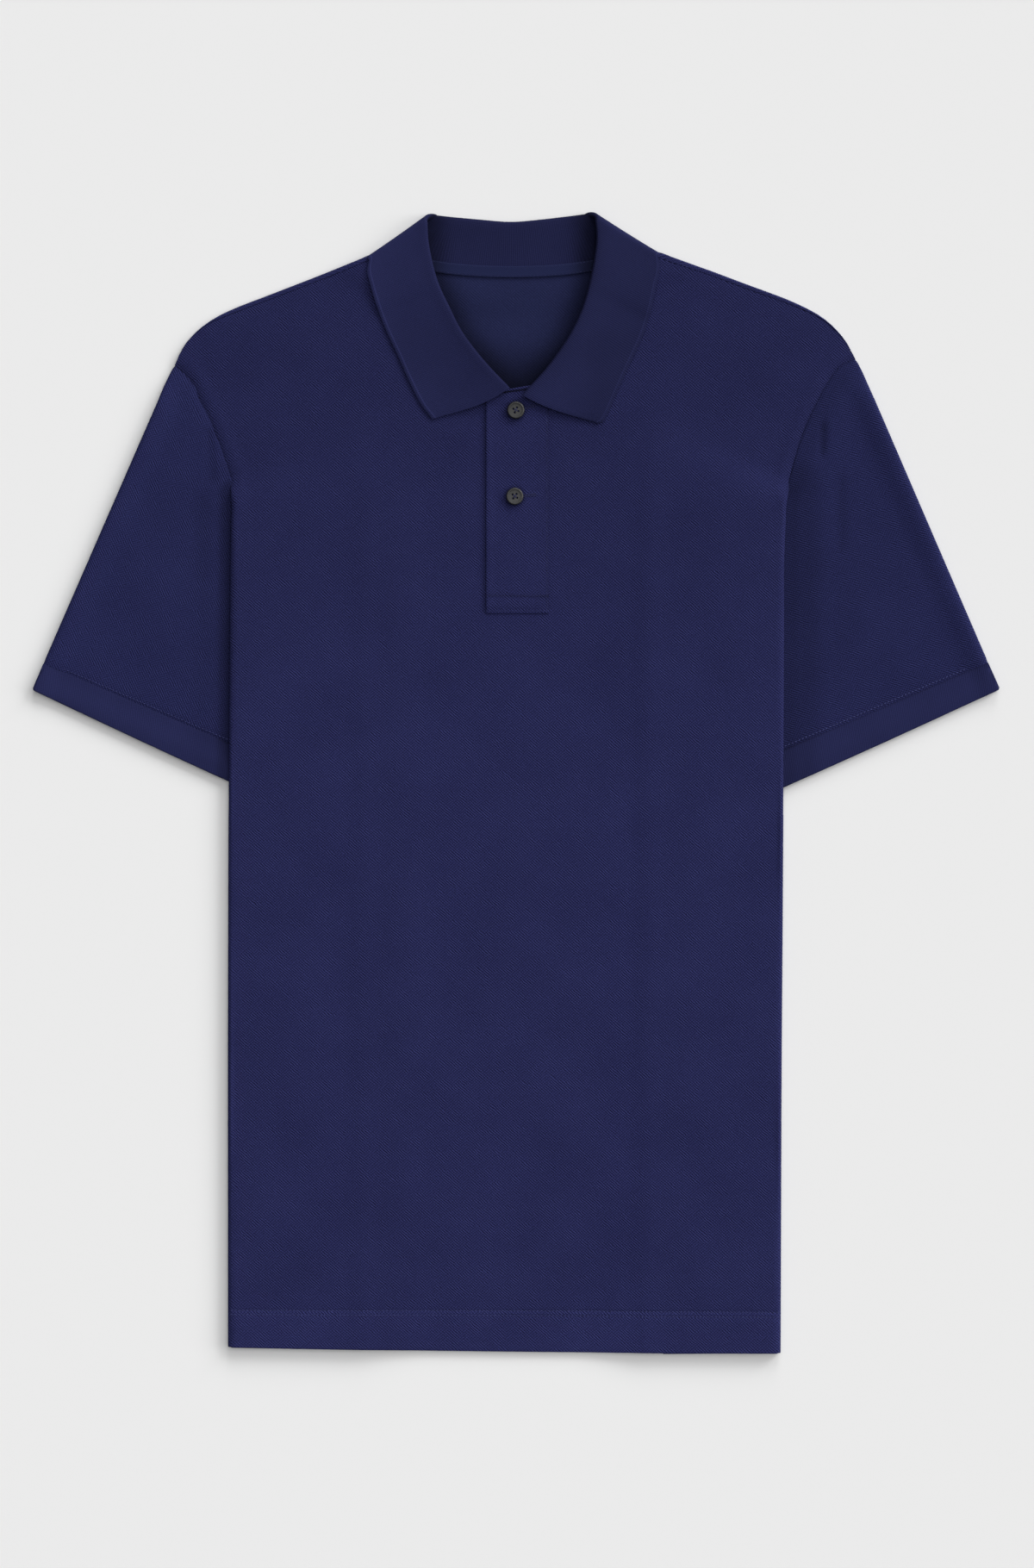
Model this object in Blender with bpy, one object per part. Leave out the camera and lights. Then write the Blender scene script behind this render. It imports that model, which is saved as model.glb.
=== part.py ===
"""A polo shirt that lies flat on its back, with both sides of the body folded under.

Metres in the scene; the tables below are in millimetres. +Z is up, +Y points to the collar, and the shirt
lies on z = 0. Left and right are as seen from above, with the collar away from the viewer.
Every cloth piece is a wall built round its middle surface, a grid of points worked out from the tables.
"""

import math

import bpy
import numpy as np

MM = 0.001
WALL = 1.2  # body cloth, rib and collar
TAPE_WALL = 1.0
GAP = 0.3  # between pieces
LAYER = WALL + GAP  # from one layer to the next above it
SEAM_PLAY = 0.6  # how far the collar stands back from the neck seam

BACK_Z = WALL / 2  # middle of the back panel's wall where it lies on the floor
SIDE_LIFT = 2 * LAYER  # the folded-under sides, or the sleeve's hidden part, carry the panels this high
NECK_LIFT = LAYER  # the collar's back leaf lies under the back panel
FLAP_WIDTH = 79.0  # of each folded-under side
FLAP_SLOPE = {"back": 25.0, "front": 60.0}  # over which a panel sinks inside the flap
FOLD_OUTER = (2 * SIDE_LIFT - GAP) / 2  # outer radius of the front panel's side fold: 2.85
FOLD_MIDDLE = FOLD_OUTER - WALL / 2
FOLD_NESTED = FOLD_MIDDLE - LAYER  # the back panel's fold inside it
FOLD_ANGLES = (115, 145, 172, 205, 237, 270)  # degrees round the side fold, from the top
QUARTER = 3  # of them are kept where the fold only covers the sleeve
LIFT_FULL_Y, LIFT_RUN = 186.0, 18.0  # above the first the side lift fades out, over this at the side edge
LIFT_RUN_GROWTH = 0.6  # and over this much more for each millimetre inwards
SLOPE_PLAY = 0.45  # the panels part by this much more where they slope
NECK_SLOPE_START, NECK_SLOPE = 22.0, 19.0  # the neck lift grows from this far below the hidden leaf

SLIT_LEFT, SLIT_RIGHT, SLIT_BOTTOM = -17.5, 19.5, 117.0
PLACKET = {"left": -20.3, "right": 22.0, "bottom": 114.3}
PLACKET_TAB = {"left": -13.0, "right": 12.0}  # rises between the collar's ends
TAB_TOP = {"under": (266.4, 0.17), "upper": (264.5, 0.13)}  # y at x = 0, and its slant
CUFF_CROWN = 0.3  # how far the upper layer of a cuff swells in its middle
HEM_Y_LEFT, HEM_Y_RIGHT = -379.9, -384.0

BUTTON_RADIUS, BUTTON_HEIGHT = 5.8, 2.6
HOLE_RADIUS, HOLE_SPREAD = 0.65, 1.3  # each hole's centre is this far from the middle along both sides
BUTTONS = (
    # name, x, y, turn in degrees
    ("button_upper", -0.2, 251.0, 20),
    ("button_lower", -0.9, 193.0, 8),
)

# The body's folded side edge from the hem to the underarm, x at each y.
SIDE_Y = (-384.0, -192.0, -53.0, 63.0, 153.0, 188.0, 204.0)
SIDE_X = {
    "left": (-194.0, -194.1, -193.8, -193.4, -192.6, -192.0, -192.0),
    "right": (178.1, 178.8, 179.8, 180.4, 180.7, 182.3, 184.0),
}
LOWER_ROWS = (-384.0, -290.0, -195.0, -100.0, -19.0, 45.0)  # rows of the body grid below the slit
FLAP_ROWS = 4  # cells of those rows that keep their folded-under flap
SIDE_ROWS = (117.0, 150.0, 176.0, 188.0, 196.0)  # rows from the slit's foot to the underarm
FOLD_ROWS = 8  # cells, from the hem, that keep the side fold

BOW_REACH = 0.62  # share of a half's width over which the side edge's bow fades out

# The armhole seam from the underarm up to the shoulder tip (x, y).
ARMHOLE = {
    "left": ((-192.0, 204.2), (-195.6, 216.3), (-201.3, 232.0), (-208.8, 250.0), (-213.4, 258.7),
             (-217.5, 268.5), (-222.3, 274.3), (-229.9, 281.5)),
    "right": ((184.0, 204.2), (187.2, 216.3), (192.0, 232.0), (199.4, 250.0), (204.5, 259.5),
              (209.3, 268.5), (217.0, 279.5), (228.6, 285.5)),
}
# One row for each column of the body grid, from the shoulder tip to the neck corner: share of the way
# from the side to the slit at the slit's foot, the forward shoulder seam, the shoulder fold.
SHOULDER = {
    "left": (
        (0.00, (-229.9, 281.5), (-229.9, 281.5)),
        (0.05, (-225.0, 292.0), (-225.0, 292.3)),
        (0.10, (-218.1, 300.4), (-218.1, 301.0)),
        (0.17, (-208.6, 308.2), (-208.2, 309.7)),
        (0.26, (-192.0, 315.7), (-193.1, 318.4)),
        (0.36, (-162.4, 327.0), (-162.0, 330.5)),
        (0.45, (-136.3, 337.0), (-136.0, 340.6)),
        (0.55, (-105.0, 349.4), (-104.0, 353.0)),
        (0.60, (-98.5, 350.2), (-98.5, 353.6)),
        (0.65, (-88.9, 354.2), (-88.6, 357.6)),
    ),
    "right": (
        (0.00, (228.6, 285.5), (228.6, 285.5)),
        (0.05, (225.0, 292.0), (225.0, 292.3)),
        (0.10, (219.2, 300.4), (219.2, 301.0)),
        (0.17, (207.8, 311.0), (208.0, 312.4)),
        (0.26, (187.3, 321.0), (188.0, 323.6)),
        (0.36, (156.0, 332.5), (156.0, 335.8)),
        (0.45, (129.3, 342.4), (132.0, 344.8)),
        (0.55, (104.0, 350.6), (104.0, 354.0)),
        (0.60, (96.5, 351.2), (96.5, 354.6)),
        (0.65, (88.3, 355.0), (88.1, 358.2)),
    ),
}
FOLD_START = 4  # the columns before this one have no shoulder fold: the seam meets the edge there
# The collar's front half, from its end to its crease at the side of the neck:
# neck seam, fold edge, leaf edge (x, y each), and the body grid's share as above.
COLLAR = {
    "left": (
        ((-13.0, 263.2), (-3.8, 265.6), (-56.3, 245.0), 1.00),
        ((-25.5, 259.8), (-15.1, 277.2), (-63.8, 254.6), 0.96),
        ((-42.9, 270.3), (-26.7, 290.6), (-72.5, 271.4), 0.91),
        ((-59.7, 286.5), (-37.1, 305.1), (-80.0, 288.3), 0.86),
        ((-72.5, 306.8), (-44.7, 320.2), (-87.0, 303.3), 0.80),
        ((-81.8, 330.0), (-52.2, 336.5), (-93.4, 319.6), 0.74),
        ((-85.4, 341.5), (-56.8, 353.2), (-98.0, 334.7), 0.71),
        ((-87.4, 350.5), (-59.2, 367.5), (-100.2, 345.0), 0.68),
        ((-87.9, 359.4), (-59.6, 377.4), (-99.3, 352.1), 0.65),
    ),
    "right": (
        ((12.5, 257.0), (3.5, 261.0), (55.7, 242.1), 1.00),
        ((25.8, 261.3), (20.9, 280.1), (60.7, 247.0), 0.96),
        ((42.3, 272.0), (29.6, 292.0), (66.7, 260.7), 0.91),
        ((59.7, 289.4), (38.2, 306.0), (75.4, 279.9), 0.86),
        ((72.5, 309.7), (44.4, 319.9), (84.3, 299.1), 0.80),
        ((81.2, 332.9), (49.3, 337.6), (90.2, 316.9), 0.74),
        ((84.8, 343.0), (52.5, 353.8), (94.0, 334.0), 0.71),
        ((86.6, 351.5), (53.9, 368.5), (96.6, 346.0), 0.68),
        ((86.5, 359.5), (53.1, 378.7), (95.9, 354.3), 0.65),
    ),
}
CREASE = {"left": (-0.565, 0.824), "right": (0.512, 0.859)}  # outward across the crease
CREASE_TURNS = (45, 90, 135)  # degrees
BACK_CORNER = {"left": (-52.9, 382.2), "right": (46.1, 383.0)}  # where the fold edge leaves the crease
BACK_FOLD = ((-44.0, 381.4), (-24.0, 379.6), (-4.0, 378.1), (17.0, 379.7), (36.0, 381.9))
BACK_COLUMNS_X = (-70.0, -50.0, -27.0, -4.0, 19.0, 42.0, 64.0)  # of the back panel between its neck corners
STAND_FRONT_Z, LEAF_FRONT_Z = 6.0, 8.4  # middle of the wall below and above the front fold
STAND_BACK_Z, LEAF_BACK_Z = 3.8, BACK_Z
END_STAND_Z = 5.1  # the collar's end lies on the placket's tab
STAND_STEPS, ROLL_STEPS, LEAF_STEPS = 3, 5, 5
STAND_RISE, LEAF_DROP = 1.3, 1.6  # powers that shape the stand's rise to the fold and the leaf's fall from it
NECK_MIDDLE_X = -3.0

# Sleeves (x, y): straight upper edge, cuff seam and cuff mouth, each from the outer fold inwards.
SLEEVE = {
    "left": {
        "outer": ((-230.6, 281.0), (-233.7, 274.9), (-237.8, 266.2), (-241.3, 257.5), (-318.4, 80.6)),
        "inner": ((-192.9, 203.6), (-190.9, 187.0), (-170.6, 17.0)),
        "mouth": ((-325.4, 62.6), (-168.0, -10.5)),
    },
    "right": {
        "outer": ((229.3, 285.0), (233.8, 275.9), (238.0, 266.2), (241.9, 257.5), (317.9, 81.2)),
        "inner": ((184.9, 203.6), (181.3, 187.0), (157.2, 12.5)),
        "mouth": ((325.4, 63.0), (155.2, -14.0)),
    },
}
TUBE_Z, TUBE_RADIUS = WALL + GAP / 2, (WALL + GAP) / 2  # a flattened tube's mid height and fold radius
SLEEVE_RINGS, CUFF_SPANS = 9, 7
MOUTH_BOW = 0.5  # how far the cuff mouth bows outwards in its middle

NAVY = (0.019, 0.021, 0.078)
FINISHES = {
    # name: colour, roughness
    "pique": (NAVY, 0.9),
    "rib": ((0.017, 0.019, 0.065), 0.88),
    "tape": ((0.018, 0.023, 0.07), 0.85),
    "horn": ((0.03, 0.028, 0.026), 0.35),
}


def clear_scene():
    for thing in list(bpy.data.objects):
        bpy.data.objects.remove(thing, do_unlink=True)


def finish(name):
    """The Principled material of this name, made once."""
    if name in bpy.data.materials:
        return bpy.data.materials[name]
    colour, roughness = FINISHES[name]
    made = bpy.data.materials.new(name)
    made.use_nodes = True
    shader = made.node_tree.nodes["Principled BSDF"]
    shader.inputs["Base Color"].default_value = (*colour, 1)
    shader.inputs["Roughness"].default_value = roughness
    shader.inputs["Metallic"].default_value = 0
    return made


def mesh_object(name, points, faces, finish_name):
    mesh = bpy.data.meshes.new(name)
    mesh.from_pydata([tuple(p * MM) for p in points], [], faces)
    mesh.shade_smooth()
    mesh.set_sharp_from_angle(angle=math.radians(50))
    mesh.materials.append(finish(finish_name))
    made = bpy.data.objects.new(name, mesh)
    bpy.context.scene.collection.objects.link(made)
    return made


def smooth(t):
    t = np.clip(t, 0, 1)
    return t * t * (3 - 2 * t)


def unit(v):
    v = np.asarray(v, float)
    return v / np.linalg.norm(v)


def shell(name, middle, finish_name, wall=WALL, keep=None, wrap=False):
    """A closed wall round the middle surface, a grid of points [column][row]. keep says which cells are
    cloth, and wrap joins the last column to the first."""
    columns, rows = middle.shape[:2]
    across = columns if wrap else columns - 1
    if keep is None:
        keep = np.ones((across, rows - 1), bool)
    normal = np.zeros_like(middle)
    cells = []
    for i, j in np.argwhere(keep):
        a, b, c, d = (i, j), ((i + 1) % columns, j), ((i + 1) % columns, j + 1), (i, j + 1)
        area = np.cross(middle[c] - middle[a], middle[d] - middle[b])
        for corner in (a, b, c, d):
            normal[corner] += area
        cells.append((a, b, c, d))
    used = sorted({corner for cell in cells for corner in cell})
    index = {corner: k for k, corner in enumerate(used)}
    count = len(used)
    half = [unit(normal[corner]) * wall / 2 for corner in used]
    points = [middle[corner] + h for corner, h in zip(used, half)]
    points += [middle[corner] - h for corner, h in zip(used, half)]
    faces, edges = [], set()
    for cell in cells:
        ring = [index[corner] for corner in cell]
        faces.append(ring)
        faces.append([k + count for k in reversed(ring)])
        edges |= set(zip(ring, ring[1:] + ring[:1]))
    for p, q in sorted(edges):
        if (q, p) not in edges:
            faces.append([q, p, p + count, q + count])
    return mesh_object(name, points, faces, finish_name)


def side_x(side, y):
    return np.interp(y, SIDE_Y, SIDE_X[side])


def side_lift(panel, x, y):
    """How high the folded-under sides carry a panel at a point."""
    from_edge = np.minimum(x - side_x("left", y), side_x("right", y) - x)
    flap = 1 - smooth((from_edge - FLAP_WIDTH) / FLAP_SLOPE[panel])
    run = LIFT_RUN + LIFT_RUN_GROWTH * np.maximum(from_edge, 0)
    return SIDE_LIFT * flap * (1 - smooth((y - LIFT_FULL_Y) / run))


def leaf_back_y(x):
    """The lower edge of the collar's back leaf, which the panels hide."""
    return 332.5 + 0.002 * (x - NECK_MIDDLE_X) ** 2


def neck_lift(x, y):
    return NECK_LIFT * smooth((y - leaf_back_y(x) + NECK_SLOPE_START) / NECK_SLOPE)


def back_z(x, y):
    return BACK_Z + side_lift("back", x, y) + neck_lift(x, y)


def front_z(x, y):
    side, neck = side_lift("back", x, y) / SIDE_LIFT, neck_lift(x, y) / NECK_LIFT
    sloping = 4 * np.maximum(side * (1 - side), neck * (1 - neck))
    return BACK_Z + side_lift("front", x, y) + neck_lift(x, y) + LAYER + SLOPE_PLAY * sloping


def back_neck_y(x):
    """The seam between the back panel and the collar."""
    off = x - NECK_MIDDLE_X
    return 344.3 + 0.0011 * off**2 + 1.1e-7 * off**4


def ruled(bottom, top, v):
    """Straight columns from bottom to top, with rows at the shares v."""
    bottom, top = np.asarray(bottom, float)[:, None], np.asarray(top, float)[:, None]
    v = np.asarray(v)[None, :, None]
    return (1 - v) * bottom + v * top


def bowed(edge, v, reach):
    """How far a side edge bows from a straight line, row by row, faded out by the share in reach."""
    straight = edge[0] + np.asarray(v)[:, None] * (edge[-1] - edge[0])
    fade = np.clip(1 - np.asarray(reach), 0, 1) ** 2
    return fade[:, None, None] * (edge - straight)[None]


def panel_edge(side):
    """The panel's side from the slit's foot to the shoulder tip. Where the side is lifted, the fold's
    radius lies outside this line."""
    out = -1 if side == "left" else 1
    rows = [(side_x(side, y), y) for y in SIDE_ROWS] + list(ARMHOLE[side])
    drawn_in = [FOLD_OUTER * (1 - smooth((y - LIFT_FULL_Y) / LIFT_RUN)) for _, y in rows]
    return np.array([(x - out * inset, y) for (x, y), inset in zip(rows, drawn_in)])


def rows_share():
    edge = panel_edge("left")
    return (edge[:, 1] - edge[0, 1]) / (edge[-1, 1] - edge[0, 1])


def lower_rows(xs_foot):
    """Rows from the hem to the slit's foot, for columns that reach the foot at xs_foot."""
    foot_left = side_x("left", SLIT_BOTTOM) + FOLD_OUTER
    foot_right = side_x("right", SLIT_BOTTOM) - FOLD_OUTER
    grid = np.zeros((len(xs_foot), len(LOWER_ROWS), 2))
    for j, row_y in enumerate(LOWER_ROWS):
        left = side_x("left", row_y) + FOLD_OUTER
        right = side_x("right", row_y) - FOLD_OUTER
        for i, x_foot in enumerate(xs_foot):
            if x_foot <= SLIT_LEFT:
                x = left + (x_foot - foot_left) * (SLIT_LEFT - left) / (SLIT_LEFT - foot_left)
            elif x_foot >= SLIT_RIGHT:
                x = right + (x_foot - foot_right) * (SLIT_RIGHT - right) / (SLIT_RIGHT - foot_right)
            else:
                x = x_foot
            hem = HEM_Y_LEFT + (HEM_Y_RIGHT - HEM_Y_LEFT) * (x - left) / (right - left)
            share = (row_y - LOWER_ROWS[0]) / (SLIT_BOTTOM - LOWER_ROWS[0])
            grid[i, j] = x, hem + share * (SLIT_BOTTOM - hem)
    return grid


def front_half(side):
    """One half of the front above the slit's foot, columns from the side to the slit."""
    slit_x = SLIT_LEFT if side == "left" else SLIT_RIGHT
    edge = panel_edge(side)
    collar = COLLAR[side]
    shares = [row[0] for row in SHOULDER[side]] + [row[3] for row in reversed(collar[:8])]
    top = [row[1] for row in SHOULDER[side]] + [row[0] for row in reversed(collar[1:8])]
    slope = (collar[1][0][1] - collar[0][0][1]) / (collar[1][0][0] - collar[0][0][0])
    top.append((slit_x, collar[1][0][1] + slope * (slit_x - collar[1][0][0])))
    shares = shares[:-1] + [1.0]
    bottom = [edge[0] + s * (np.array((slit_x, SLIT_BOTTOM)) - edge[0]) for s in shares]
    v = rows_share()
    return ruled(bottom, top, v) + bowed(edge, v, np.array(shares) / BOW_REACH)


def side_fold(body, side, radius, centre_z, flap_z, foot):
    """Columns that carry a panel round its side fold and back under it, from the inner flap edge to the
    top of the fold. body holds the panel's outermost column."""
    out = -1 if side == "left" else 1
    columns = []
    for angle in FOLD_ANGLES:
        turn = math.radians(angle)
        x = body[:, 0] + out * radius * -math.cos(turn)
        z = centre_z + radius * math.sin(turn)
        columns.append(np.column_stack([x, body[:, 1], np.full(len(body), z)]))
    flap = np.column_stack([body[:, 0] - out * foot, body[:, 1], np.full(len(body), flap_z)])
    return columns + [flap]


def body_panel(name, plan, height, radius, flap_z, finish_name, masked, shoulder=None):
    """A panel from its plan grid: heights are added, then the side folds, and shell() gives it a wall."""
    main = np.concatenate([plan, height(plan[..., 0], plan[..., 1])[..., None]], axis=2)
    centre_z = FOLD_OUTER
    foot = FLAP_WIDTH - FOLD_OUTER
    left = side_fold(main[0], "left", radius, centre_z, flap_z, foot)
    right = side_fold(main[-1], "right", radius, centre_z, flap_z, foot)
    extra = len(left)
    grid = np.array(left[::-1] + list(main) + right)
    keep = np.ones((len(grid) - 1, grid.shape[1] - 1), bool)
    keep[:extra, FLAP_ROWS:] = False
    keep[-extra:, FLAP_ROWS:] = False
    if masked:  # the front's fold goes on, a quarter round, over the sleeve's hidden part
        keep[extra - QUARTER : extra, FLAP_ROWS:FOLD_ROWS] = True
        keep[-extra : -extra + QUARTER, FLAP_ROWS:FOLD_ROWS] = True
        first, last = masked
        keep[extra + first : extra + last, len(LOWER_ROWS) :] = False
    if shoulder is not None:
        grid, keep = shoulder(grid, keep, extra)
    return shell(name, grid, finish_name, keep=keep)


def front():
    left, right = front_half("left"), front_half("right")[::-1]
    upper = np.concatenate([left, right])
    lower = lower_rows(upper[:, 0, 0])
    plan = np.concatenate([lower, upper], axis=1)
    masked = (len(left) - 1, len(left))
    return body_panel("front", plan, front_z, FOLD_MIDDLE, WALL / 2, "pique", masked)


def shoulder_fold(grid, keep, extra):
    """Rows that carry the back over the shoulder fold to the forward shoulder seam."""
    fold = len(SHOULDER["left"])
    radius = LAYER / 2
    last = grid[:, -1].copy()
    seam = last.copy()
    inward = np.zeros_like(last)
    for side, first, step in (("left", extra, 1), ("right", len(grid) - extra - 1, -1)):
        for k, (_, front_seam, edge) in enumerate(SHOULDER[side]):
            if k >= FOLD_START:
                seam[first + step * k, :2] = front_seam
                inward[first + step * k, :2] = unit(np.subtract(front_seam, edge))
    outer = radius + WALL / 2
    centre = last + inward * outer
    rows = []
    for angle in (-90, -45, 0, 45, 90):
        turn = math.radians(angle)
        row = centre - inward * radius * math.cos(turn)
        row[:, 2] = last[:, 2] + radius + radius * math.sin(turn)
        rows.append(row)
    end = seam - inward * GAP
    end[:, 2] = last[:, 2] + 2 * radius
    rows.append(end)
    grid = np.concatenate([grid[:, :-1], np.array(rows).transpose(1, 0, 2)], axis=1)
    more = np.zeros((keep.shape[0], len(rows) - 1), bool)
    more[extra + FOLD_START : extra + fold - 1] = True
    more[len(grid) - extra - fold : len(grid) - extra - 1 - FOLD_START] = True
    return grid, np.concatenate([keep, more], axis=1)


def back():
    """The back panel: its top is the shoulder fold on both sides and the back neck seam between."""
    left_edge, right_edge = panel_edge("left"), panel_edge("right")
    neck = [(x, back_neck_y(x)) for x in BACK_COLUMNS_X]
    top = [row[2] for row in SHOULDER["left"]] + neck + [row[2] for row in reversed(SHOULDER["right"])]
    x0, x1 = left_edge[0, 0], right_edge[0, 0]
    half_left, half_right = SLIT_LEFT - x0, x1 - SLIT_RIGHT
    xs = [x0 + row[0] * half_left for row in SHOULDER["left"]]
    xs += list(np.interp(BACK_COLUMNS_X, (-88, 88), (xs[-1], x1 - 0.65 * half_right)))
    xs += [x1 - row[0] * half_right for row in reversed(SHOULDER["right"])]
    bottom = [(x, SLIT_BOTTOM) for x in xs]
    v = rows_share()
    upper = ruled(bottom, top, v)
    upper += bowed(left_edge, v, (np.array(xs) - x0) / half_left / BOW_REACH)
    upper += bowed(right_edge, v, (x1 - np.array(xs)) / half_right / BOW_REACH)
    lower = lower_rows(upper[:, 0, 0])
    plan = np.concatenate([lower, upper], axis=1)
    flap_z = FOLD_OUTER - FOLD_NESTED
    return body_panel("back", plan, back_z, FOLD_NESTED, flap_z, "pique", None, shoulder_fold)


def flat_tube(name, lines, finish_name, crowns=None):
    """A flattened tube. lines are its rings in plan, each from the outer fold to the inner one, and crowns
    says how far each ring's upper layer swells in its middle."""
    rings = []
    for number, line in enumerate(lines):
        line = np.asarray(line, float)
        inset = TUBE_RADIUS + WALL / 2
        start = line[0] + unit(line[1] - line[0]) * inset
        end = line[-1] + unit(line[-2] - line[-1]) * inset
        flat = np.vstack([start, line[1:-1], end])
        crown = crowns[number] if crowns else 0
        swell = crown * np.sin(np.linspace(0, math.pi, len(flat))) ** 0.5
        upper = [(*p, TUBE_Z + TUBE_RADIUS + z) for p, z in zip(flat, swell)]
        lower = [(*p, TUBE_Z - TUBE_RADIUS) for p in flat[::-1]]
        ring = []
        for run, toward in ((upper, unit(line[-1] - line[-2])), (lower, unit(line[0] - line[1]))):
            ring += run
            x, y, z = run[-1]
            up = 1 if z > TUBE_Z else -1
            for angle in (60, 0, -60):
                turn = math.radians(angle)
                out = TUBE_RADIUS * math.cos(turn)
                height = TUBE_Z + up * TUBE_RADIUS * math.sin(turn)
                ring.append((x + toward[0] * out, y + toward[1] * out, height))
        rings.append(ring)
    grid = np.array(rings).transpose(1, 0, 2)
    outward = np.cross(grid[1, 0] - grid[0, 0], grid[0, 1] - grid[0, 0])[2]
    return shell(name, grid if outward > 0 else grid[::-1], finish_name, wrap=True)


def along(points, shares):
    """Points at these shares of a broken line's length."""
    points = np.asarray(points, float)
    run = np.concatenate([[0], np.cumsum(np.linalg.norm(np.diff(points, axis=0), axis=1))])
    return np.column_stack([np.interp(np.asarray(shares) * run[-1], run, points[:, k]) for k in (0, 1)])


def sleeve(side):
    """Rings from the armhole, which stays a gap away from the body, to the cuff seam."""
    shape = SLEEVE[side]
    out = -1 if side == "left" else 1
    rings = np.linspace(0, 1, SLEEVE_RINGS + 1) ** 1.3
    seam = np.array(ARMHOLE[side])[::-1]
    run = np.concatenate([[0], np.cumsum(np.linalg.norm(np.diff(seam, axis=0), axis=1))])
    spans = run / run[-1]
    armhole = seam + np.array((out * 0.9, -0.43)) * (GAP + 0.1)
    outer, inner = along(shape["outer"], rings), along(shape["inner"], rings)
    armhole[0], armhole[-1] = outer[0], inner[0]
    cuff_seam = outer[-1] + spans[:, None] * (inner[-1] - outer[-1])
    plan = ruled(armhole, cuff_seam, rings)
    plan += bowed(outer, rings, spans) + bowed(inner, rings, 1 - spans)
    return flat_tube(f"sleeve_{side}", plan.transpose(1, 0, 2), "pique")


def cuff(side):
    shape = SLEEVE[side]
    spans = np.linspace(0, 1, CUFF_SPANS + 1)[:, None]
    outer, inner = np.array(shape["outer"][-1]), np.array(shape["inner"][-1])
    mouth = np.array(shape["mouth"][0]) + spans * (np.array(shape["mouth"][1]) - shape["mouth"][0])
    seam = outer + spans * (inner - outer)
    down = unit(mouth[len(mouth) // 2] - seam[len(seam) // 2])
    away = down * GAP
    mouth = mouth + down * MOUTH_BOW * np.sin(math.pi * spans)
    lines = [seam + away + share * (mouth - seam - away) for share in (0, 0.45, 1)]
    return flat_tube(f"cuff_{side}", lines, "rib", crowns=(0, CUFF_CROWN, 0))


def collar_section(seam, fold, leaf, heights):
    """Plan points and heights of one section, from the neck seam over the fold to the leaf's edge."""
    seam, fold, leaf = (np.array(p, float) for p in (seam, fold, leaf))
    seam_z, stand_z, leaf_top_z, leaf_edge_z = heights
    toward = unit(fold - (seam + leaf) / 2)
    seam = seam + unit(fold - seam) * SEAM_PLAY
    radius = abs(leaf_top_z - stand_z) / 2
    centre = fold - toward * (radius + WALL / 2)
    points = []
    for k in range(STAND_STEPS):
        t = k / STAND_STEPS
        points.append((*(seam + t * (centre - seam)), seam_z + (stand_z - seam_z) * t**STAND_RISE))
    for k in range(ROLL_STEPS + 1):
        turn = math.pi * (k / ROLL_STEPS - 0.5)
        share = (1 + math.sin(turn)) / 2
        height = stand_z + share * (leaf_top_z - stand_z)
        points.append((*(centre + toward * radius * math.cos(turn)), height))
    for k in range(1, LEAF_STEPS + 1):
        t = k / LEAF_STEPS
        height = leaf_edge_z + (leaf_top_z - leaf_edge_z) * (1 - t) ** LEAF_DROP
        points.append((*(centre + t * (leaf - centre)), height))
    return np.array(points)


def collar_front(side):
    sections = []
    for k, (seam, fold, leaf, _) in enumerate(COLLAR[side]):
        seam_z = END_STAND_Z if k == 0 else front_z(*seam)
        edge_z = max(front_z(*seam), front_z(*leaf)) + LAYER
        sections.append(collar_section(seam, fold, leaf, (seam_z, STAND_FRONT_Z, LEAF_FRONT_Z, edge_z)))
    return sections


def collar_back_end(side):
    seam, _, leaf, _ = COLLAR[side][-1]
    heights = (back_z(*seam), STAND_BACK_Z, LEAF_BACK_Z, LEAF_BACK_Z)
    return collar_section(seam, BACK_CORNER[side], leaf, heights)


def collar_crease(side):
    """The collar turns from the front to the back over its crease beside the neck."""
    front_end, back_end = collar_front(side)[-1], collar_back_end(side)
    reach = (front_end[:, 2] - back_end[:, 2]) / 2
    middle = (front_end[:, 2] + back_end[:, 2]) / 2
    sections = []
    for angle in CREASE_TURNS:
        turn = math.radians(angle)
        section = front_end + (back_end - front_end) * (1 - math.cos(turn)) / 2
        section[:, :2] += np.outer(reach * math.sin(turn), CREASE[side])
        section[:, 2] = middle + reach * math.cos(turn)
        sections.append(section)
    return sections


def collar_back():
    sections = []
    for fold in BACK_FOLD:
        x = fold[0]
        seam_x = NECK_MIDDLE_X + (x - NECK_MIDDLE_X) * 1.3
        leaf_x = NECK_MIDDLE_X + (x - NECK_MIDDLE_X) * 1.45
        seam, leaf = (seam_x, back_neck_y(seam_x)), (leaf_x, leaf_back_y(leaf_x))
        heights = (back_z(*seam), STAND_BACK_Z, LEAF_BACK_Z, LEAF_BACK_Z)
        sections.append(collar_section(seam, fold, leaf, heights))
    return sections


def collar():
    sections = collar_front("left") + collar_crease("left") + [collar_back_end("left")] + collar_back()
    sections += [collar_back_end("right")] + collar_crease("right")[::-1] + collar_front("right")[::-1]
    return shell("collar", np.array(sections)[::-1], "rib")


def neck_tape():
    """Covers the back neck seam on the inside."""
    columns = []
    for x in np.linspace(-60, 55, 13):
        y = back_neck_y(x)
        z = back_z(x, y) + WALL / 2 + GAP + TAPE_WALL / 2
        columns.append([(x, y - 3.8, z), (x, y + 0.2, z + 0.1), (x, y + 3.8, z + 0.4)])
    return shell("neck_tape", np.array(columns), "tape", wall=TAPE_WALL)


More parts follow.
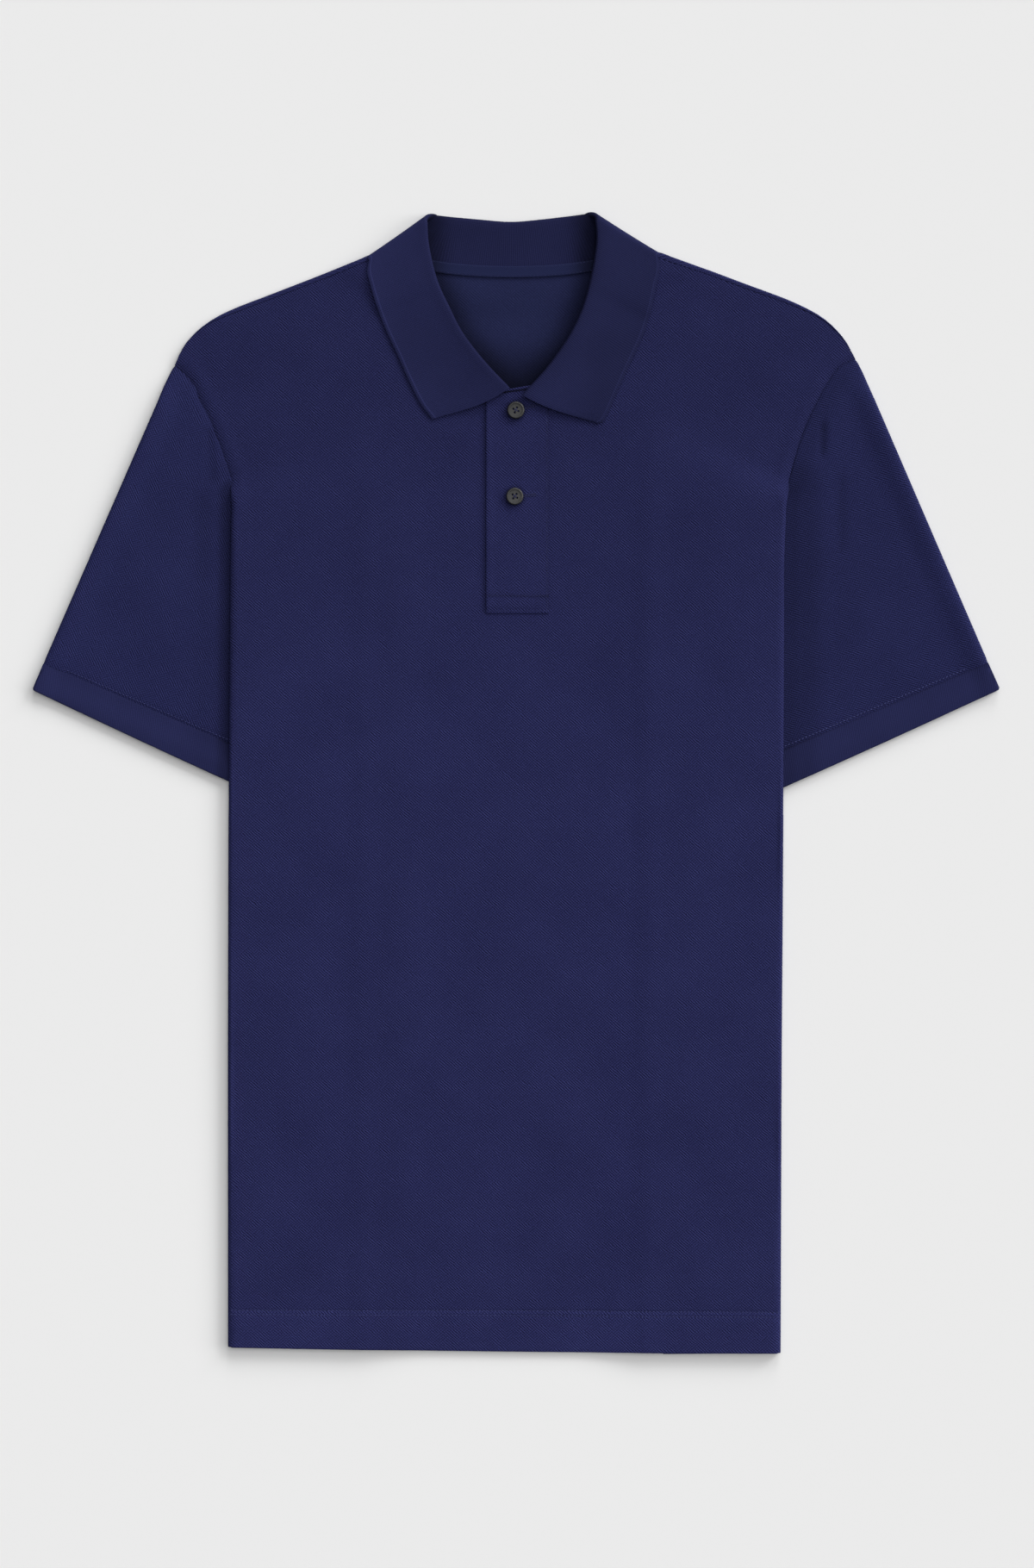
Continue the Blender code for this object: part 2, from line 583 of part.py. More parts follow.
def band(name, left, right, bottom, top_inset, z, tab_top):
    """A placket band: a strip whose top follows the neck seam, with a tab between the collar's ends that
    ends at tab_top, given as y at x = 0 and a slant."""
    tab_left, tab_right = PLACKET_TAB["left"], PLACKET_TAB["right"]
    xs = (left, (left + tab_left) / 2, tab_left, 0.0, tab_right, (right + tab_right) / 2, right)
    known = [COLLAR[side][k][0] for side, k in (("left", 1), ("left", 0), ("right", 0), ("right", 1))]
    tops = np.interp(xs, [p[0] for p in known], [p[1] for p in known]) - top_inset
    grid = np.zeros((len(xs), 8, 3))
    for i, x in enumerate(xs):
        ys = list(np.linspace(bottom, tops[i], 7)) + [tab_top[0] + tab_top[1] * x]
        grid[i] = [(x, y, z) for y in ys]
    keep = np.ones((len(xs) - 1, 7), bool)
    keep[:, -1] = [tab_left <= (a + b) / 2 <= tab_right for a, b in zip(xs, xs[1:])]
    return shell(name, grid, "pique", keep=keep)


def placket():
    under_z = BACK_Z + LAYER
    under, upper = TAB_TOP["under"], TAB_TOP["upper"]
    band("placket_under", SLIT_LEFT + GAP, SLIT_RIGHT - GAP, SLIT_BOTTOM + GAP, 0.6, under_z, under)
    band("placket_upper", PLACKET["left"], PLACKET["right"], PLACKET["bottom"], 0.4, under_z + LAYER, upper)


def button(name, x, y, turn):
    """A turned disc with a raised rim and four holes."""
    base = BACK_Z + 2 * LAYER + WALL / 2 + GAP
    profile = (
        # radius, height above the placket
        (4.4, 0.0),
        (5.6, 0.7),
        (BUTTON_RADIUS, 1.5),
        (5.5, 2.4),
        (4.9, BUTTON_HEIGHT),
        (4.1, 2.1),
        (3.3, 1.8),
    )
    sides = 28
    points = [np.array((x, y, base))]
    for radius, height in profile:
        for k in range(sides):
            angle = 2 * math.pi * k / sides
            around = (x + radius * math.cos(angle), y + radius * math.sin(angle), base + height)
            points.append(np.array(around))
    points.append(np.array((x, y, base + profile[-1][1])))
    ring = lambda r, k: 1 + r * sides + k % sides
    faces = [[0, ring(0, k + 1), ring(0, k)] for k in range(sides)]
    for r in range(len(profile) - 1):
        faces += [[ring(r, k), ring(r, k + 1), ring(r + 1, k + 1), ring(r + 1, k)] for k in range(sides)]
    inner = len(profile) - 1
    faces += [[len(points) - 1, ring(inner, k), ring(inner, k + 1)] for k in range(sides)]
    disc = mesh_object(name, points, faces, "horn")
    for number, (across, up) in enumerate(((1, 1), (-1, 1), (-1, -1), (1, -1))):
        angle = math.radians(turn)
        dx = HOLE_SPREAD * (across * math.cos(angle) - up * math.sin(angle))
        dy = HOLE_SPREAD * (across * math.sin(angle) + up * math.cos(angle))
        place = ((x + dx) * MM, (y + dy) * MM, base * MM)
        radius, depth = HOLE_RADIUS * MM, 10 * MM
        bpy.ops.mesh.primitive_cylinder_add(vertices=10, radius=radius, depth=depth, location=place)
        cutter = bpy.context.object
        cutter.name = f"{name}_hole_{number}"
        cutter.hide_render = True
        cutter.display_type = "WIRE"
        cut = disc.modifiers.new(cutter.name, "BOOLEAN")
        cut.object = cutter
    return disc


clear_scene()
back()
front()
for side in ("left", "right"):
    sleeve(side)
    cuff(side)
collar()
neck_tape()
placket()
for row in BUTTONS:
    button(*row)
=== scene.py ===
"""Looks of a navy knit polo shirt that lies flat on its back, with both sides of the body folded under.

Metres in the scene; the tables below are in millimetres. +Z is up and +Y points to the collar. Every cloth
piece is a thin closed wall round a fine middle surface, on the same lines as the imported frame.
"""

import math

import bpy
import numpy as np
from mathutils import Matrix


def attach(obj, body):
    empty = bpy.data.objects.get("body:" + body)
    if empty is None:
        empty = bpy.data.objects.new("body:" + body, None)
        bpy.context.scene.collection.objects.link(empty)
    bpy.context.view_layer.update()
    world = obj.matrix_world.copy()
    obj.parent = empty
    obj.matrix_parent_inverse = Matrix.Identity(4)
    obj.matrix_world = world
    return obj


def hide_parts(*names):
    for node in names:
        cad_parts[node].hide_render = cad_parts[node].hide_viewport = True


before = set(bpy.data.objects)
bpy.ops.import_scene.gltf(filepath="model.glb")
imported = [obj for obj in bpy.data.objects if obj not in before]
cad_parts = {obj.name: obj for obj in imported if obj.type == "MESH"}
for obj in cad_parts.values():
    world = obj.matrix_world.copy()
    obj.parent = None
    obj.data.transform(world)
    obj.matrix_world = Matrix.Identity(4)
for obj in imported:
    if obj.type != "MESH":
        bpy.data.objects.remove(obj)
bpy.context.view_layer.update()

MM = 0.001
TINY = 0.01
OUT = {"left": -1, "right": 1}  # the way out along x at each side

# layers, the folded-under sides and the slit
WALL, TAPE_WALL, GAP = 1.2, 1.0, 0.3
LAYER = WALL + GAP
BACK_Z = WALL / 2
SIDE_LIFT, NECK_LIFT = 2 * LAYER, LAYER
FLAP_WIDTH, FLAP_SLOPE = 79.0, {"back": 25.0, "front": 60.0}
FOLD_OUTER = (2 * SIDE_LIFT - GAP) / 2
FOLD_MIDDLE = FOLD_OUTER - WALL / 2
FOLD_NESTED = FOLD_MIDDLE - LAYER
LIFT_FULL_Y, LIFT_RUN, LIFT_RUN_GROWTH = 186.0, 18.0, 0.6
FOLD_ANGLES = (102, 115, 130, 145, 158, 172, 188, 205, 221, 237, 253, 270)
QUARTER = 6  # of them are kept where the fold only covers the sleeve
FLAP_PITCH = 6.0
SLOPE_PLAY = 0.45  # how much more room the layers keep on slopes
NECK_SLOPE_START, NECK_SLOPE = 22.0, 19.0
SLIT_LEFT, SLIT_RIGHT, SLIT_BOTTOM = -17.5, 19.5, 117.0
PLACKET = {"left": -20.3, "right": 22.0, "bottom": 114.3}
PLACKET_TAB = {"left": -13.0, "right": 12.0}
PLACKET_ROW_Y = 126.3
SEWN_DOWN = 0.66  # how much lower the placket's sewn side and foot lie
TAB_TOP = {"under": (266.4, 0.17), "upper": (264.5, 0.13)}  # y at x = 0, and its slant
UPPER_FACE_Z = BACK_Z + 2 * LAYER + WALL / 2
SHARP_ANGLE = 60  # degrees between faces from which their edge stays crisp

# the hem: its ends, how far its middle hangs lower, the rounding of its corners and its fine rows
HEM_Y_LEFT, HEM_Y_RIGHT = -379.9, -384.0
HEM_BOW, CORNER = 0.9, 2.8
HEM_FROM, HEM_LENGTH = -194.0, 372.0
HEM_ROWS = ((-354.7, -356.1), (-357.6, -359.4))  # y of the two stitch rows at the left and right edge
HEM_LINES = [-384 + d for d in (0.4, 1.0, 2.0, 22.5, 24, 24.7, 25.4, 26.1, 26.8, 27.5, 28.2, 29, 30.5)]

# the buttons, their holes and the buttonholes
BUTTON_Z = UPPER_FACE_Z + GAP
BUTTON_RADIUS, HOLE_OFFSET, HOLE_RADIUS = 5.8, 1.3, 0.72
BUTTON_PROFILE = (  # radius, height above the foot
    (4.3, 0.0), (4.9, 0.15), (5.5, 0.6), (5.76, 1.1), (BUTTON_RADIUS, 1.5), (5.74, 2.0), (5.52, 2.38),
    (5.2, 2.57), (4.9, 2.6), (4.6, 2.54), (4.25, 2.42), (3.85, 2.32), (3.3, 2.25), (2.6, 2.22), (1.6, 2.2),
)
BUTTONS = (("upper", -0.2, 251.0, 20), ("lower", -0.9, 193.0, 8))  # x, y and the turn in degrees
BUTTONHOLES = (("upper", 5.9, 252.6, 13, 7.6), ("lower", 5.0, 193.6, 4, 8.4))  # also the length
# painted shade on the buttons: the upper one darker, in the collar's shade, and each darker towards its upper
# left
BUTTON_SHADE, BUTTON_LEE = {"upper": 0.33, "lower": 0.08}, 0.22 / 8.2

# the body's outline

SIDE_Y = (-384.0, -192.0, -53.0, 63.0, 153.0, 188.0, 204.0)
SIDE_X = {
    "left": (-194.0, -194.1, -193.8, -193.4, -192.6, -192.0, -192.0),
    "right": (178.1, 178.8, 179.8, 180.4, 180.7, 182.3, 184.0),
}
LOWER_ROWS = (-384.0, -290.0, -195.0, -100.0, -19.0, 45.0)
FLAP_TOP_Y, FOLD_TOP_Y, UNDERARM_Y = -19.0, 202.5, 196.0
SIDE_ROWS = (117.0, 150.0, 176.0, 188.0, UNDERARM_Y)
BOW_REACH = 0.62  # share of a half's width over which its edge's bow fades out
ARMHOLE = {
    "left": ((-192.0, 204.2), (-195.6, 216.3), (-201.3, 232.0), (-208.8, 250.0), (-213.4, 258.7),
             (-217.5, 268.5), (-222.3, 274.3), (-229.9, 281.5)),
    "right": ((184.0, 204.2), (187.2, 216.3), (192.0, 232.0), (199.4, 250.0), (204.5, 259.5),
              (209.3, 268.5), (217.0, 279.5), (228.6, 285.5)),
}
# share of the way from the side to the slit, the seam in front and the edge
SHOULDER = {
    "left": (
        (0.00, (-229.9, 281.5), (-229.9, 281.5)),
        (0.05, (-225.0, 292.0), (-225.0, 292.3)),
        (0.10, (-218.1, 300.4), (-218.1, 301.0)),
        (0.17, (-208.6, 308.2), (-208.2, 309.7)),
        (0.26, (-192.0, 315.7), (-193.1, 318.4)),
        (0.36, (-162.4, 327.0), (-162.0, 330.5)),
        (0.45, (-136.3, 337.0), (-136.0, 340.6)),
        (0.55, (-105.0, 349.4), (-104.0, 353.3)),
        (0.60, (-98.5, 352.0), (-98.5, 355.8)),
        (0.65, (-88.9, 354.2), (-88.6, 357.6)),
    ),
    "right": (
        (0.00, (228.6, 285.5), (228.6, 285.5)),
        (0.05, (225.0, 292.0), (225.0, 292.3)),
        (0.10, (219.2, 300.4), (219.2, 301.0)),
        (0.17, (207.8, 311.0), (208.0, 312.4)),
        (0.26, (187.3, 321.0), (188.0, 323.6)),
        (0.36, (156.0, 332.5), (156.0, 335.8)),
        (0.45, (129.3, 342.4), (132.0, 344.8)),
        (0.55, (104.0, 350.6), (104.0, 354.7)),
        (0.60, (96.5, 353.2), (97.2, 357.3)),
        (0.65, (88.3, 355.0), (88.1, 358.2)),
    ),
}
FOLD_START, FOLD_FULL = 1, 2.7  # the row where the shoulder fold starts, and its full depth

# the collar: neck seam, fold edge, the leaf's free edge and the share of the way from the side to the slit
COLLAR = {
    "left": (
        ((-13.0, 263.2), (-3.8, 265.6), (-56.3, 245.0), 1.00),
        ((-25.5, 259.8), (-15.1, 277.2), (-63.8, 254.6), 0.96),
        ((-42.9, 270.3), (-26.7, 290.6), (-72.5, 271.4), 0.91),
        ((-59.7, 286.5), (-37.1, 305.1), (-80.0, 288.3), 0.86),
        ((-72.5, 306.8), (-44.7, 320.2), (-87.0, 303.3), 0.80),
        ((-81.8, 330.0), (-52.2, 336.5), (-93.4, 319.6), 0.74),
        ((-85.4, 341.5), (-56.8, 353.2), (-98.0, 334.7), 0.71),
        ((-87.4, 350.5), (-59.2, 367.5), (-100.2, 345.0), 0.68),
        ((-87.9, 359.4), (-59.6, 377.4), (-99.1, 352.2), 0.65),
    ),
    "right": (
        ((12.5, 257.0), (3.5, 261.0), (55.7, 242.1), 1.00),
        ((25.8, 261.3), (20.9, 280.1), (60.7, 247.0), 0.96),
        ((42.3, 272.0), (29.6, 292.0), (66.7, 260.7), 0.91),
        ((59.7, 289.4), (38.2, 306.0), (75.4, 279.9), 0.86),
        ((72.5, 309.7), (44.4, 319.9), (84.3, 299.1), 0.80),
        ((81.2, 332.9), (49.3, 337.6), (90.2, 316.9), 0.74),
        ((84.8, 343.0), (52.5, 353.8), (94.0, 334.0), 0.71),
        ((86.6, 351.5), (53.9, 368.5), (96.6, 346.0), 0.68),
        ((86.5, 359.5), (53.1, 378.7), (95.8, 354.3), 0.65),
    ),
}
CREASE = {"left": (-0.565, 0.824), "right": (0.512, 0.859)}
BACK_CORNER = {"left": (-52.9, 382.2), "right": (46.1, 383.0)}  # where the fold edge leaves the crease
BACK_FOLD = ((-44.0, 381.4), (-24.0, 379.6), (-4.0, 378.1), (17.0, 379.7), (36.0, 381.9))
SEAM_SPREAD, LEAF_SPREAD = 1.3, 1.45  # how much wider than the fold's points the seam's and the leaf's lie
BACK_COLUMNS_X, NECK_SPAN = (-70.0, -50.0, -27.0, -4.0, 19.0, 42.0, 64.0), (-88, 88)
STAND_FRONT_Z, LEAF_FRONT_Z = 6.0, 8.4
STAND_BACK_Z, LEAF_BACK_Z = 3.8, BACK_Z
END_STAND_Z, SEAM_PLAY = 5.1, 0.6
STAND_RISE, LEAF_DROP = 1.3, 1.6  # powers of the rise and the drop
LEAF_STEPS = (0.06, 0.13, 0.2, 0.28, 0.37, 0.46, 0.55, 0.64, 0.73, 0.81, 0.88, 0.93, 0.965, 0.985, 1.0)
LEAF_ROW = 20  # the row whose length counts on the cut
END_SAG = {"left": -2.9, "right": 1.9}  # how far the leaf's front edge bows
SAG_REACH, SAG_SHAPE = 22.0, 1 / 0.195
NECK_MIDDLE_X = -3.0
LEAF_BACK_Y, LEAF_BACK_BEND = 332.5, 0.002
BACK_NECK_Y, BACK_NECK_BENDS = 344.3, (0.0011, 1.1e-7)
TAPE_ROWS = ((-3.8, 0), (-3.3, 0.02), (-2, 0.04), (0.2, 0.1), (2, 0.25), (3.3, 0.36), (3.8, 0.4))

# the sleeves and cuffs
SLEEVE = {
    "left": {
        "outer": ((-230.6, 281.0), (-233.7, 274.9), (-237.8, 266.2), (-241.3, 257.5), (-318.4, 80.6)),
        "inner": ((-192.1, 203.9), (-190.9, 187.0), (-170.6, 17.0)),
        "mouth": ((-325.4, 62.6), (-168.0, -10.5)),
    },
    "right": {
        "outer": ((229.3, 285.0), (233.8, 275.9), (238.0, 266.2), (241.9, 257.5), (317.9, 81.2)),
        "inner": ((184.1, 203.9), (181.3, 187.0), (157.2, 12.5)),
        "mouth": ((325.4, 63.0), (155.2, -14.0)),
    },
}
TUBE_Z, TUBE_RADIUS = WALL + GAP / 2, LAYER / 2
SEAM_CLOSE = -0.1  # how far a sleeve or cuff stays off its seam
PUFF, PUFF_REACH = 2.3, 16.0  # how much the outer fold stands up, and over what width
PUFF_START, SLEEVE_LENGTH = 30, 219
CUFF_CROWN, MOUTH_BOW, MOUTH_OPEN, MOUTH_CORNER = 0.3, 0.5, 1.1, 1.5

# soft creases: line, depth, width
BODY_CREASES = (
    (((212.6, 305.7), (209.4, 281.9)), 0.35, 3.0),
    (((-214.0, 300.0), (-207.0, 274.0)), 0.2, 4.0),
    (((-120.0, -150.0), (-40.0, -230.0), (30.0, -262.0)), 0.12, 7.0),
    (((150.0, -120.0), (80.0, -205.0), (10.0, -250.0)), 0.12, 7.0),
)
SLEEVE_CREASES = {
    "left": ((((-206.0, 236.0), (-204.5, 205.0)), 0.3, 3.5), (((-212.0, 190.0), (-213.0, 140.0)), 0.2, 6.0)),
    "right": ((((207.1, 240.7), (206.5, 222.1)), 0.7, 2.6), (((218.7, 204.7), (219.5, 158.9)), 0.3, 3.5)),
}

# finishes and stitches: screen colours, millimetres, and radians for Turn and Play
PIQUE_CELL = np.array((2.15, 1.9))
PIQUE_TONES = ((0.0, (17, 18, 46)), (0.5, (35, 37, 76)), (1.0, (54, 57, 106)))
SHEEN = (110, 114, 200)
# painted light: the right cuff's row uses the lighter copy of the navy thread
CUFF_THREAD = {"left": "thread", "right": "pale"}
STITCH = {"Pitch": 2.6, "Length": 1.9, "Width": 0.42, "Height": 0.3, "Turn": 0.0, "Play": 0.06}

# floor, light and camera
FLOOR_TONE = 0.8335
AMBIENT, SKY = 0.1, 2.0
SKY_HEIGHT, SKY_BEARING, SKY_NARROWNESS = 80.0, 55.0, 8.0
KEYS = ((4.0, 1.1), (43.0, 2.0), (82.0, 1.1))  # bearing and power
KEY_HEIGHT, KEY_SPREAD = 22.0, 26.0  # degrees
FOCAL_LENGTH, SENSOR = 100, 36


# ---- shapes ----


def smooth(t):
    t = np.clip(t, 0, 1)
    return t * t * (3 - 2 * t)


def unit(v):
    v = np.asarray(v, float)
    return v / np.maximum(np.linalg.norm(v, axis=-1, keepdims=True), 1e-9)


def through(points, knots, at):
    """The places `at` on a smooth curve through the points, which sit at the growing knots."""
    points, knots, at = (np.asarray(a, float) for a in (points, knots, at))
    tail = [1] * (points.ndim - 1)
    step = np.diff(knots)
    h = step.reshape(-1, *tail)
    slope = np.diff(points, axis=0) / h
    inner = (h[:-1] * slope[1:] + h[1:] * slope[:-1]) / (h[:-1] + h[1:])
    tangent = np.concatenate([slope[:1], inner, slope[-1:]])
    k = np.clip(np.searchsorted(knots, at, side="right") - 1, 0, len(step) - 1)
    t = ((at - knots[k]) / step[k]).reshape(-1, *tail)
    h = h[k]
    return (
        (1 + 2 * t) * (1 - t) ** 2 * points[k]
        + t * (1 - t) ** 2 * h * tangent[k]
        + t * t * (3 - 2 * t) * points[k + 1]
        + t * t * (t - 1) * h * tangent[k + 1]
    )


def chords(points):
    """How far each point is along the broken line."""
    steps = np.diff(np.asarray(points, float), axis=0)
    return np.concatenate([[0], np.cumsum(np.linalg.norm(steps, axis=1))])


def spread(knots, pitch, more=()):
    """The knots, even steps of about the pitch between them, and the extra places."""
    places = [knots[0]]
    for a, b in zip(knots[:-1], knots[1:]):
        count = max(1, round((b - a) / pitch))
        places += list(np.linspace(a, b, count + 1)[1:])
    places = np.array(sorted(places + list(more)))
    return places[np.concatenate([[True], np.diff(places) > pitch / 60])]


def cloth_object(name, points, faces, uvs, material, shade):
    """A mesh from points in millimetres. uvs holds each point's place on the flat cut, in millimetres, and
    shade how much darker than its finish the cloth is painted there: painted shade, or painted light where it
    is below 0."""
    mesh = bpy.data.meshes.new(name)
    mesh.from_pydata((np.asarray(points) * MM).tolist(), [], faces)
    layer = mesh.uv_layers.new(name="cut")
    corners = np.zeros(len(mesh.loops), int)
    mesh.loops.foreach_get("vertex_index", corners)
    layer.data.foreach_set("uv", np.asarray(uvs, float)[corners].ravel())
    mesh.shade_smooth()
    mesh.set_sharp_from_angle(angle=math.radians(SHARP_ANGLE))
    mesh.materials.append(material)
    # painted shade per point, which the finishes take off their colour
    mesh.attributes.new("shade", "FLOAT", "POINT").data.foreach_set("value", shade)
    return linked(bpy.data.objects.new(name, mesh))


def linked(thing):
    bpy.context.scene.collection.objects.link(thing)
    return thing


def grid_normals(middle, corners):
    """The mean direction of the cells round each point. corners are the cells' own, in turn."""
    a, b, c, d = (middle[corner] for corner in corners)
    area = np.cross(b - d, c - a)
    normal = np.zeros_like(middle)
    for corner in corners:
        np.add.at(normal, corner, area)
    return unit(normal)


def shell(name, middle, flat, material, wall=WALL, keep=None, wrap=False, thin_edge=0.5, shade=0.0):
    """A closed wall round the middle surface, a grid of points [column][row]. flat holds the same grid's
    places on the cut, keep says which cells are cloth, and wrap joins the last column to the first.
    thin_edge is how much of the wall an open edge loses, which rounds it, and shade the grid's painted
    shading."""
    columns, rows = middle.shape[:2]
    if keep is None:
        keep = np.ones((columns if wrap else columns - 1, rows - 1), bool)
    i, j = np.argwhere(keep).T
    k = (i + 1) % columns
    corners = ((i, j), (k, j), (k, j + 1), (i, j + 1))
    rings = np.stack([a * rows + b for a, b in corners], axis=1)
    pairs = np.concatenate([rings[:, [n, (n + 1) % 4]] for n in range(4)])
    forward, backward = pairs @ (columns * rows, 1), pairs @ (1, columns * rows)
    open_edges = pairs[~np.isin(forward, backward)]
    thickness = np.full(columns * rows, wall / 2)
    thickness[open_edges.ravel()] *= 1 - thin_edge
    used = np.unique(rings)
    count = len(used)
    index = np.zeros(columns * rows, int)
    index[used] = np.arange(count)
    half = grid_normals(middle, corners).reshape(-1, 3)[used] * thickness[used][:, None]
    centre = middle.reshape(-1, 3)[used]
    over, (a, b) = index[rings], index[open_edges].T
    faces = [*over.tolist(), *(over[:, ::-1] + count).tolist()]
    faces += np.stack([b, a, a + count, b + count], axis=1).tolist()
    uvs = np.tile(flat.reshape(-1, 2)[used], (2, 1))
    tone = np.tile((np.zeros((columns, rows)) + shade).ravel()[used], 2)
    return cloth_object(name, np.concatenate([centre + half, centre - half]), faces, uvs, material, tone)


def level(x, y):
    """No relief."""
    return 0 * x


def side_x(side, y):
    return np.interp(y, SIDE_Y, SIDE_X[side])


def side_lift(panel, x, y):
    from_edge = np.minimum(x - side_x("left", y), side_x("right", y) - x)
    flap = 1 - smooth((from_edge - FLAP_WIDTH) / FLAP_SLOPE[panel])
    run = LIFT_RUN + LIFT_RUN_GROWTH * np.maximum(from_edge, 0)
    return SIDE_LIFT * flap * (1 - smooth((y - LIFT_FULL_Y) / run))


def leaf_back_y(x):
    return LEAF_BACK_Y + LEAF_BACK_BEND * (x - NECK_MIDDLE_X) ** 2


def neck_lift(x, y):
    return NECK_LIFT * smooth((y - leaf_back_y(x) + NECK_SLOPE_START) / NECK_SLOPE)


def back_z(x, y):
    return BACK_Z + side_lift("back", x, y) + neck_lift(x, y)


def front_z(x, y):
    side, neck = side_lift("back", x, y) / SIDE_LIFT, neck_lift(x, y) / NECK_LIFT
    sloping = 4 * np.maximum(side * (1 - side), neck * (1 - neck))
    return BACK_Z + side_lift("front", x, y) + neck_lift(x, y) + LAYER + SLOPE_PLAY * sloping


def back_neck_y(x):
    off = x - NECK_MIDDLE_X
    return BACK_NECK_Y + BACK_NECK_BENDS[0] * off**2 + BACK_NECK_BENDS[1] * off**4


def ruled(bottom, top, v):
    bottom, top = np.asarray(bottom, float)[:, None], np.asarray(top, float)[:, None]
    v = np.asarray(v)[None, :, None]
    return (1 - v) * bottom + v * top


def bowed(edge, v, reach):
    straight = edge[0] + np.asarray(v)[:, None] * (edge[-1] - edge[0])
    fade = np.clip(1 - np.asarray(reach), 0, 1) ** 2
    return fade[:, None, None] * (edge - straight)[None]


def drawn_in(y):
    """How far the panel's edge is inside the fold's outer line."""
    return FOLD_OUTER * (1 - smooth((y - LIFT_FULL_Y) / LIFT_RUN))


def panel_edge(side):
    rows = [(side_x(side, y), y) for y in SIDE_ROWS] + list(ARMHOLE[side])
    return np.array([(x - OUT[side] * drawn_in(y), y) for x, y in rows])


def rows_share():
    edge = panel_edge("left")
    return (edge[:, 1] - edge[0, 1]) / (edge[-1, 1] - edge[0, 1])


def lower_rows(foot_x):
    """The rows below the slit. Each column keeps its share of the way from the side fold to the slit."""
    def knots(y):
        return side_x("left", y) + FOLD_OUTER, SLIT_LEFT, SLIT_RIGHT, side_x("right", y) - FOLD_OUTER

    rows = []
    for row_y in LOWER_ROWS:
        here = knots(row_y)
        x = np.interp(foot_x, knots(SLIT_BOTTOM), here)
        hem = np.interp(x, (here[0], here[-1]), (HEM_Y_LEFT, HEM_Y_RIGHT))
        share = (row_y - LOWER_ROWS[0]) / (SLIT_BOTTOM - LOWER_ROWS[0])
        rows.append(np.column_stack([x, hem + share * (SLIT_BOTTOM - hem)]))
    return np.stack(rows, axis=1)


def front_half(side):
    """The front above the slit's foot, in columns from the side to the slit."""
    slit = np.array((SLIT_LEFT if side == "left" else SLIT_RIGHT, SLIT_BOTTOM))
    edge, collar = panel_edge(side), COLLAR[side]
    neck = collar[-2:0:-1]
    shares = [row[0] for row in SHOULDER[side]] + [row[3] for row in neck] + [1.0]
    (x0, y0), (x1, y1) = collar[0][0], collar[1][0]
    end = slit[0], y1 + (y1 - y0) / (x1 - x0) * (slit[0] - x1)
    top = [row[1] for row in SHOULDER[side]] + [row[0] for row in neck] + [end]
    bottom = [edge[0] + s * (slit - edge[0]) for s in shares]
    v = rows_share()
    return ruled(bottom, top, v) + bowed(edge, v, np.array(shares) / BOW_REACH)


ROW_KNOTS = np.array(list(LOWER_ROWS) + list(panel_edge("left")[:, 1]))


def finer(plan, across, pitch):
    """The plan grid at a fine pitch, with where its lines lie between the coarse ones."""
    columns, rows = spread(across, pitch), spread(ROW_KNOTS, pitch, HEM_LINES)
    plan = through(plan, across, columns)
    plan = through(plan.transpose(1, 0, 2), ROW_KNOTS, rows).transpose(1, 0, 2)
    return plan, columns, rows


def side_fold(body, cut, side, radius, flap_z):
    """The fine columns round a side fold and back under the panel, with their places on the cut. The fold
    dies away with its panel's lift at the underarm."""
    out, foot = OUT[side], FLAP_WIDTH - FOLD_OUTER
    x, y, z = body.T
    size = radius * drawn_in(y) / FOLD_OUTER
    columns, flats = [], []
    for turn in np.radians(FOLD_ANGLES):
        columns.append(np.column_stack([x - out * size * np.cos(turn), y, z - size * (1 - np.sin(turn))]))
        flats.append(cut + (out * radius * (turn - math.pi / 2), 0))
    for step in np.linspace(0, foot, round(foot / FLAP_PITCH) + 1)[1:]:
        columns.append(np.column_stack([x - out * step, y, np.full(len(y), flap_z)]))
        flats.append(cut + (out * (radius * math.pi + step), 0))
    return columns, flats


def round_corner(from_side, radius=CORNER):
    """How far an end draws back this far from its corner."""
    return radius - np.sqrt(radius**2 - np.clip(radius - from_side, 0, radius) ** 2)


def body_panel(name, plan, rows, height, radius, flap_z, relief, tone, slit=None, shoulder=None):
    """A panel with its side folds and the flaps under it. slit is the pair of columns that the front is
    open between, and shoulder adds the back's rows over the shoulders."""
    x, y = plan[..., 0], plan[..., 1]
    main = np.dstack([plan, height(x, y)])
    left, flat_left = side_fold(main[0], plan[0], "left", radius, flap_z)
    right, flat_right = side_fold(main[-1], plan[-1], "right", radius, flap_z)
    main[..., 2] += relief(x, y)
    extra = len(left)
    grid = np.array(left[::-1] + list(main) + right)
    flat = np.array(flat_left[::-1] + list(plan) + flat_right)
    keep = np.ones((len(grid) - 1, grid.shape[1] - 1), bool)
    high = rows[:-1] > FLAP_TOP_Y - TINY
    keep[:extra, high] = keep[-extra:, high] = False
    if slit:
        quarter = high & (rows[1:] < FOLD_TOP_Y)
        keep[extra - QUARTER : extra, quarter] = keep[-extra : QUARTER - extra, quarter] = True
        keep[extra + slit[0] : extra + slit[1], rows[:-1] > SLIT_BOTTOM - TINY] = False
    foot_x = grid[:, 0, 0]
    from_left, from_right = foot_x - foot_x.min(), foot_x.max() - foot_x
    move = round_corner(np.minimum(from_left, from_right))
    move -= HEM_BOW * np.sin(math.pi * from_left / (from_left + from_right))
    for moved in (grid, flat):
        moved[:, 0, 1] += move
    if shoulder:
        grid, flat, keep = shoulder(grid, flat, keep, extra)
    return shell(name, grid, flat, FINISH["pique"], keep=keep, shade=tone(grid))


def front():
    upper = np.concatenate([front_half("left"), front_half("right")[::-1]])
    across = upper[:, 0, 0]
    plan, columns, rows = finer(np.concatenate([lower_rows(across), upper], axis=1), across, 3.0)
    slit = [column_at(columns, x) for x in (SLIT_LEFT, SLIT_RIGHT)]
    return body_panel("front_cloth", plan, rows, front_z, FOLD_MIDDLE, WALL / 2, front_relief, front_painted_shading,
                      slit=slit)


def column_at(columns, x):
    return np.argmin(np.abs(columns - x))


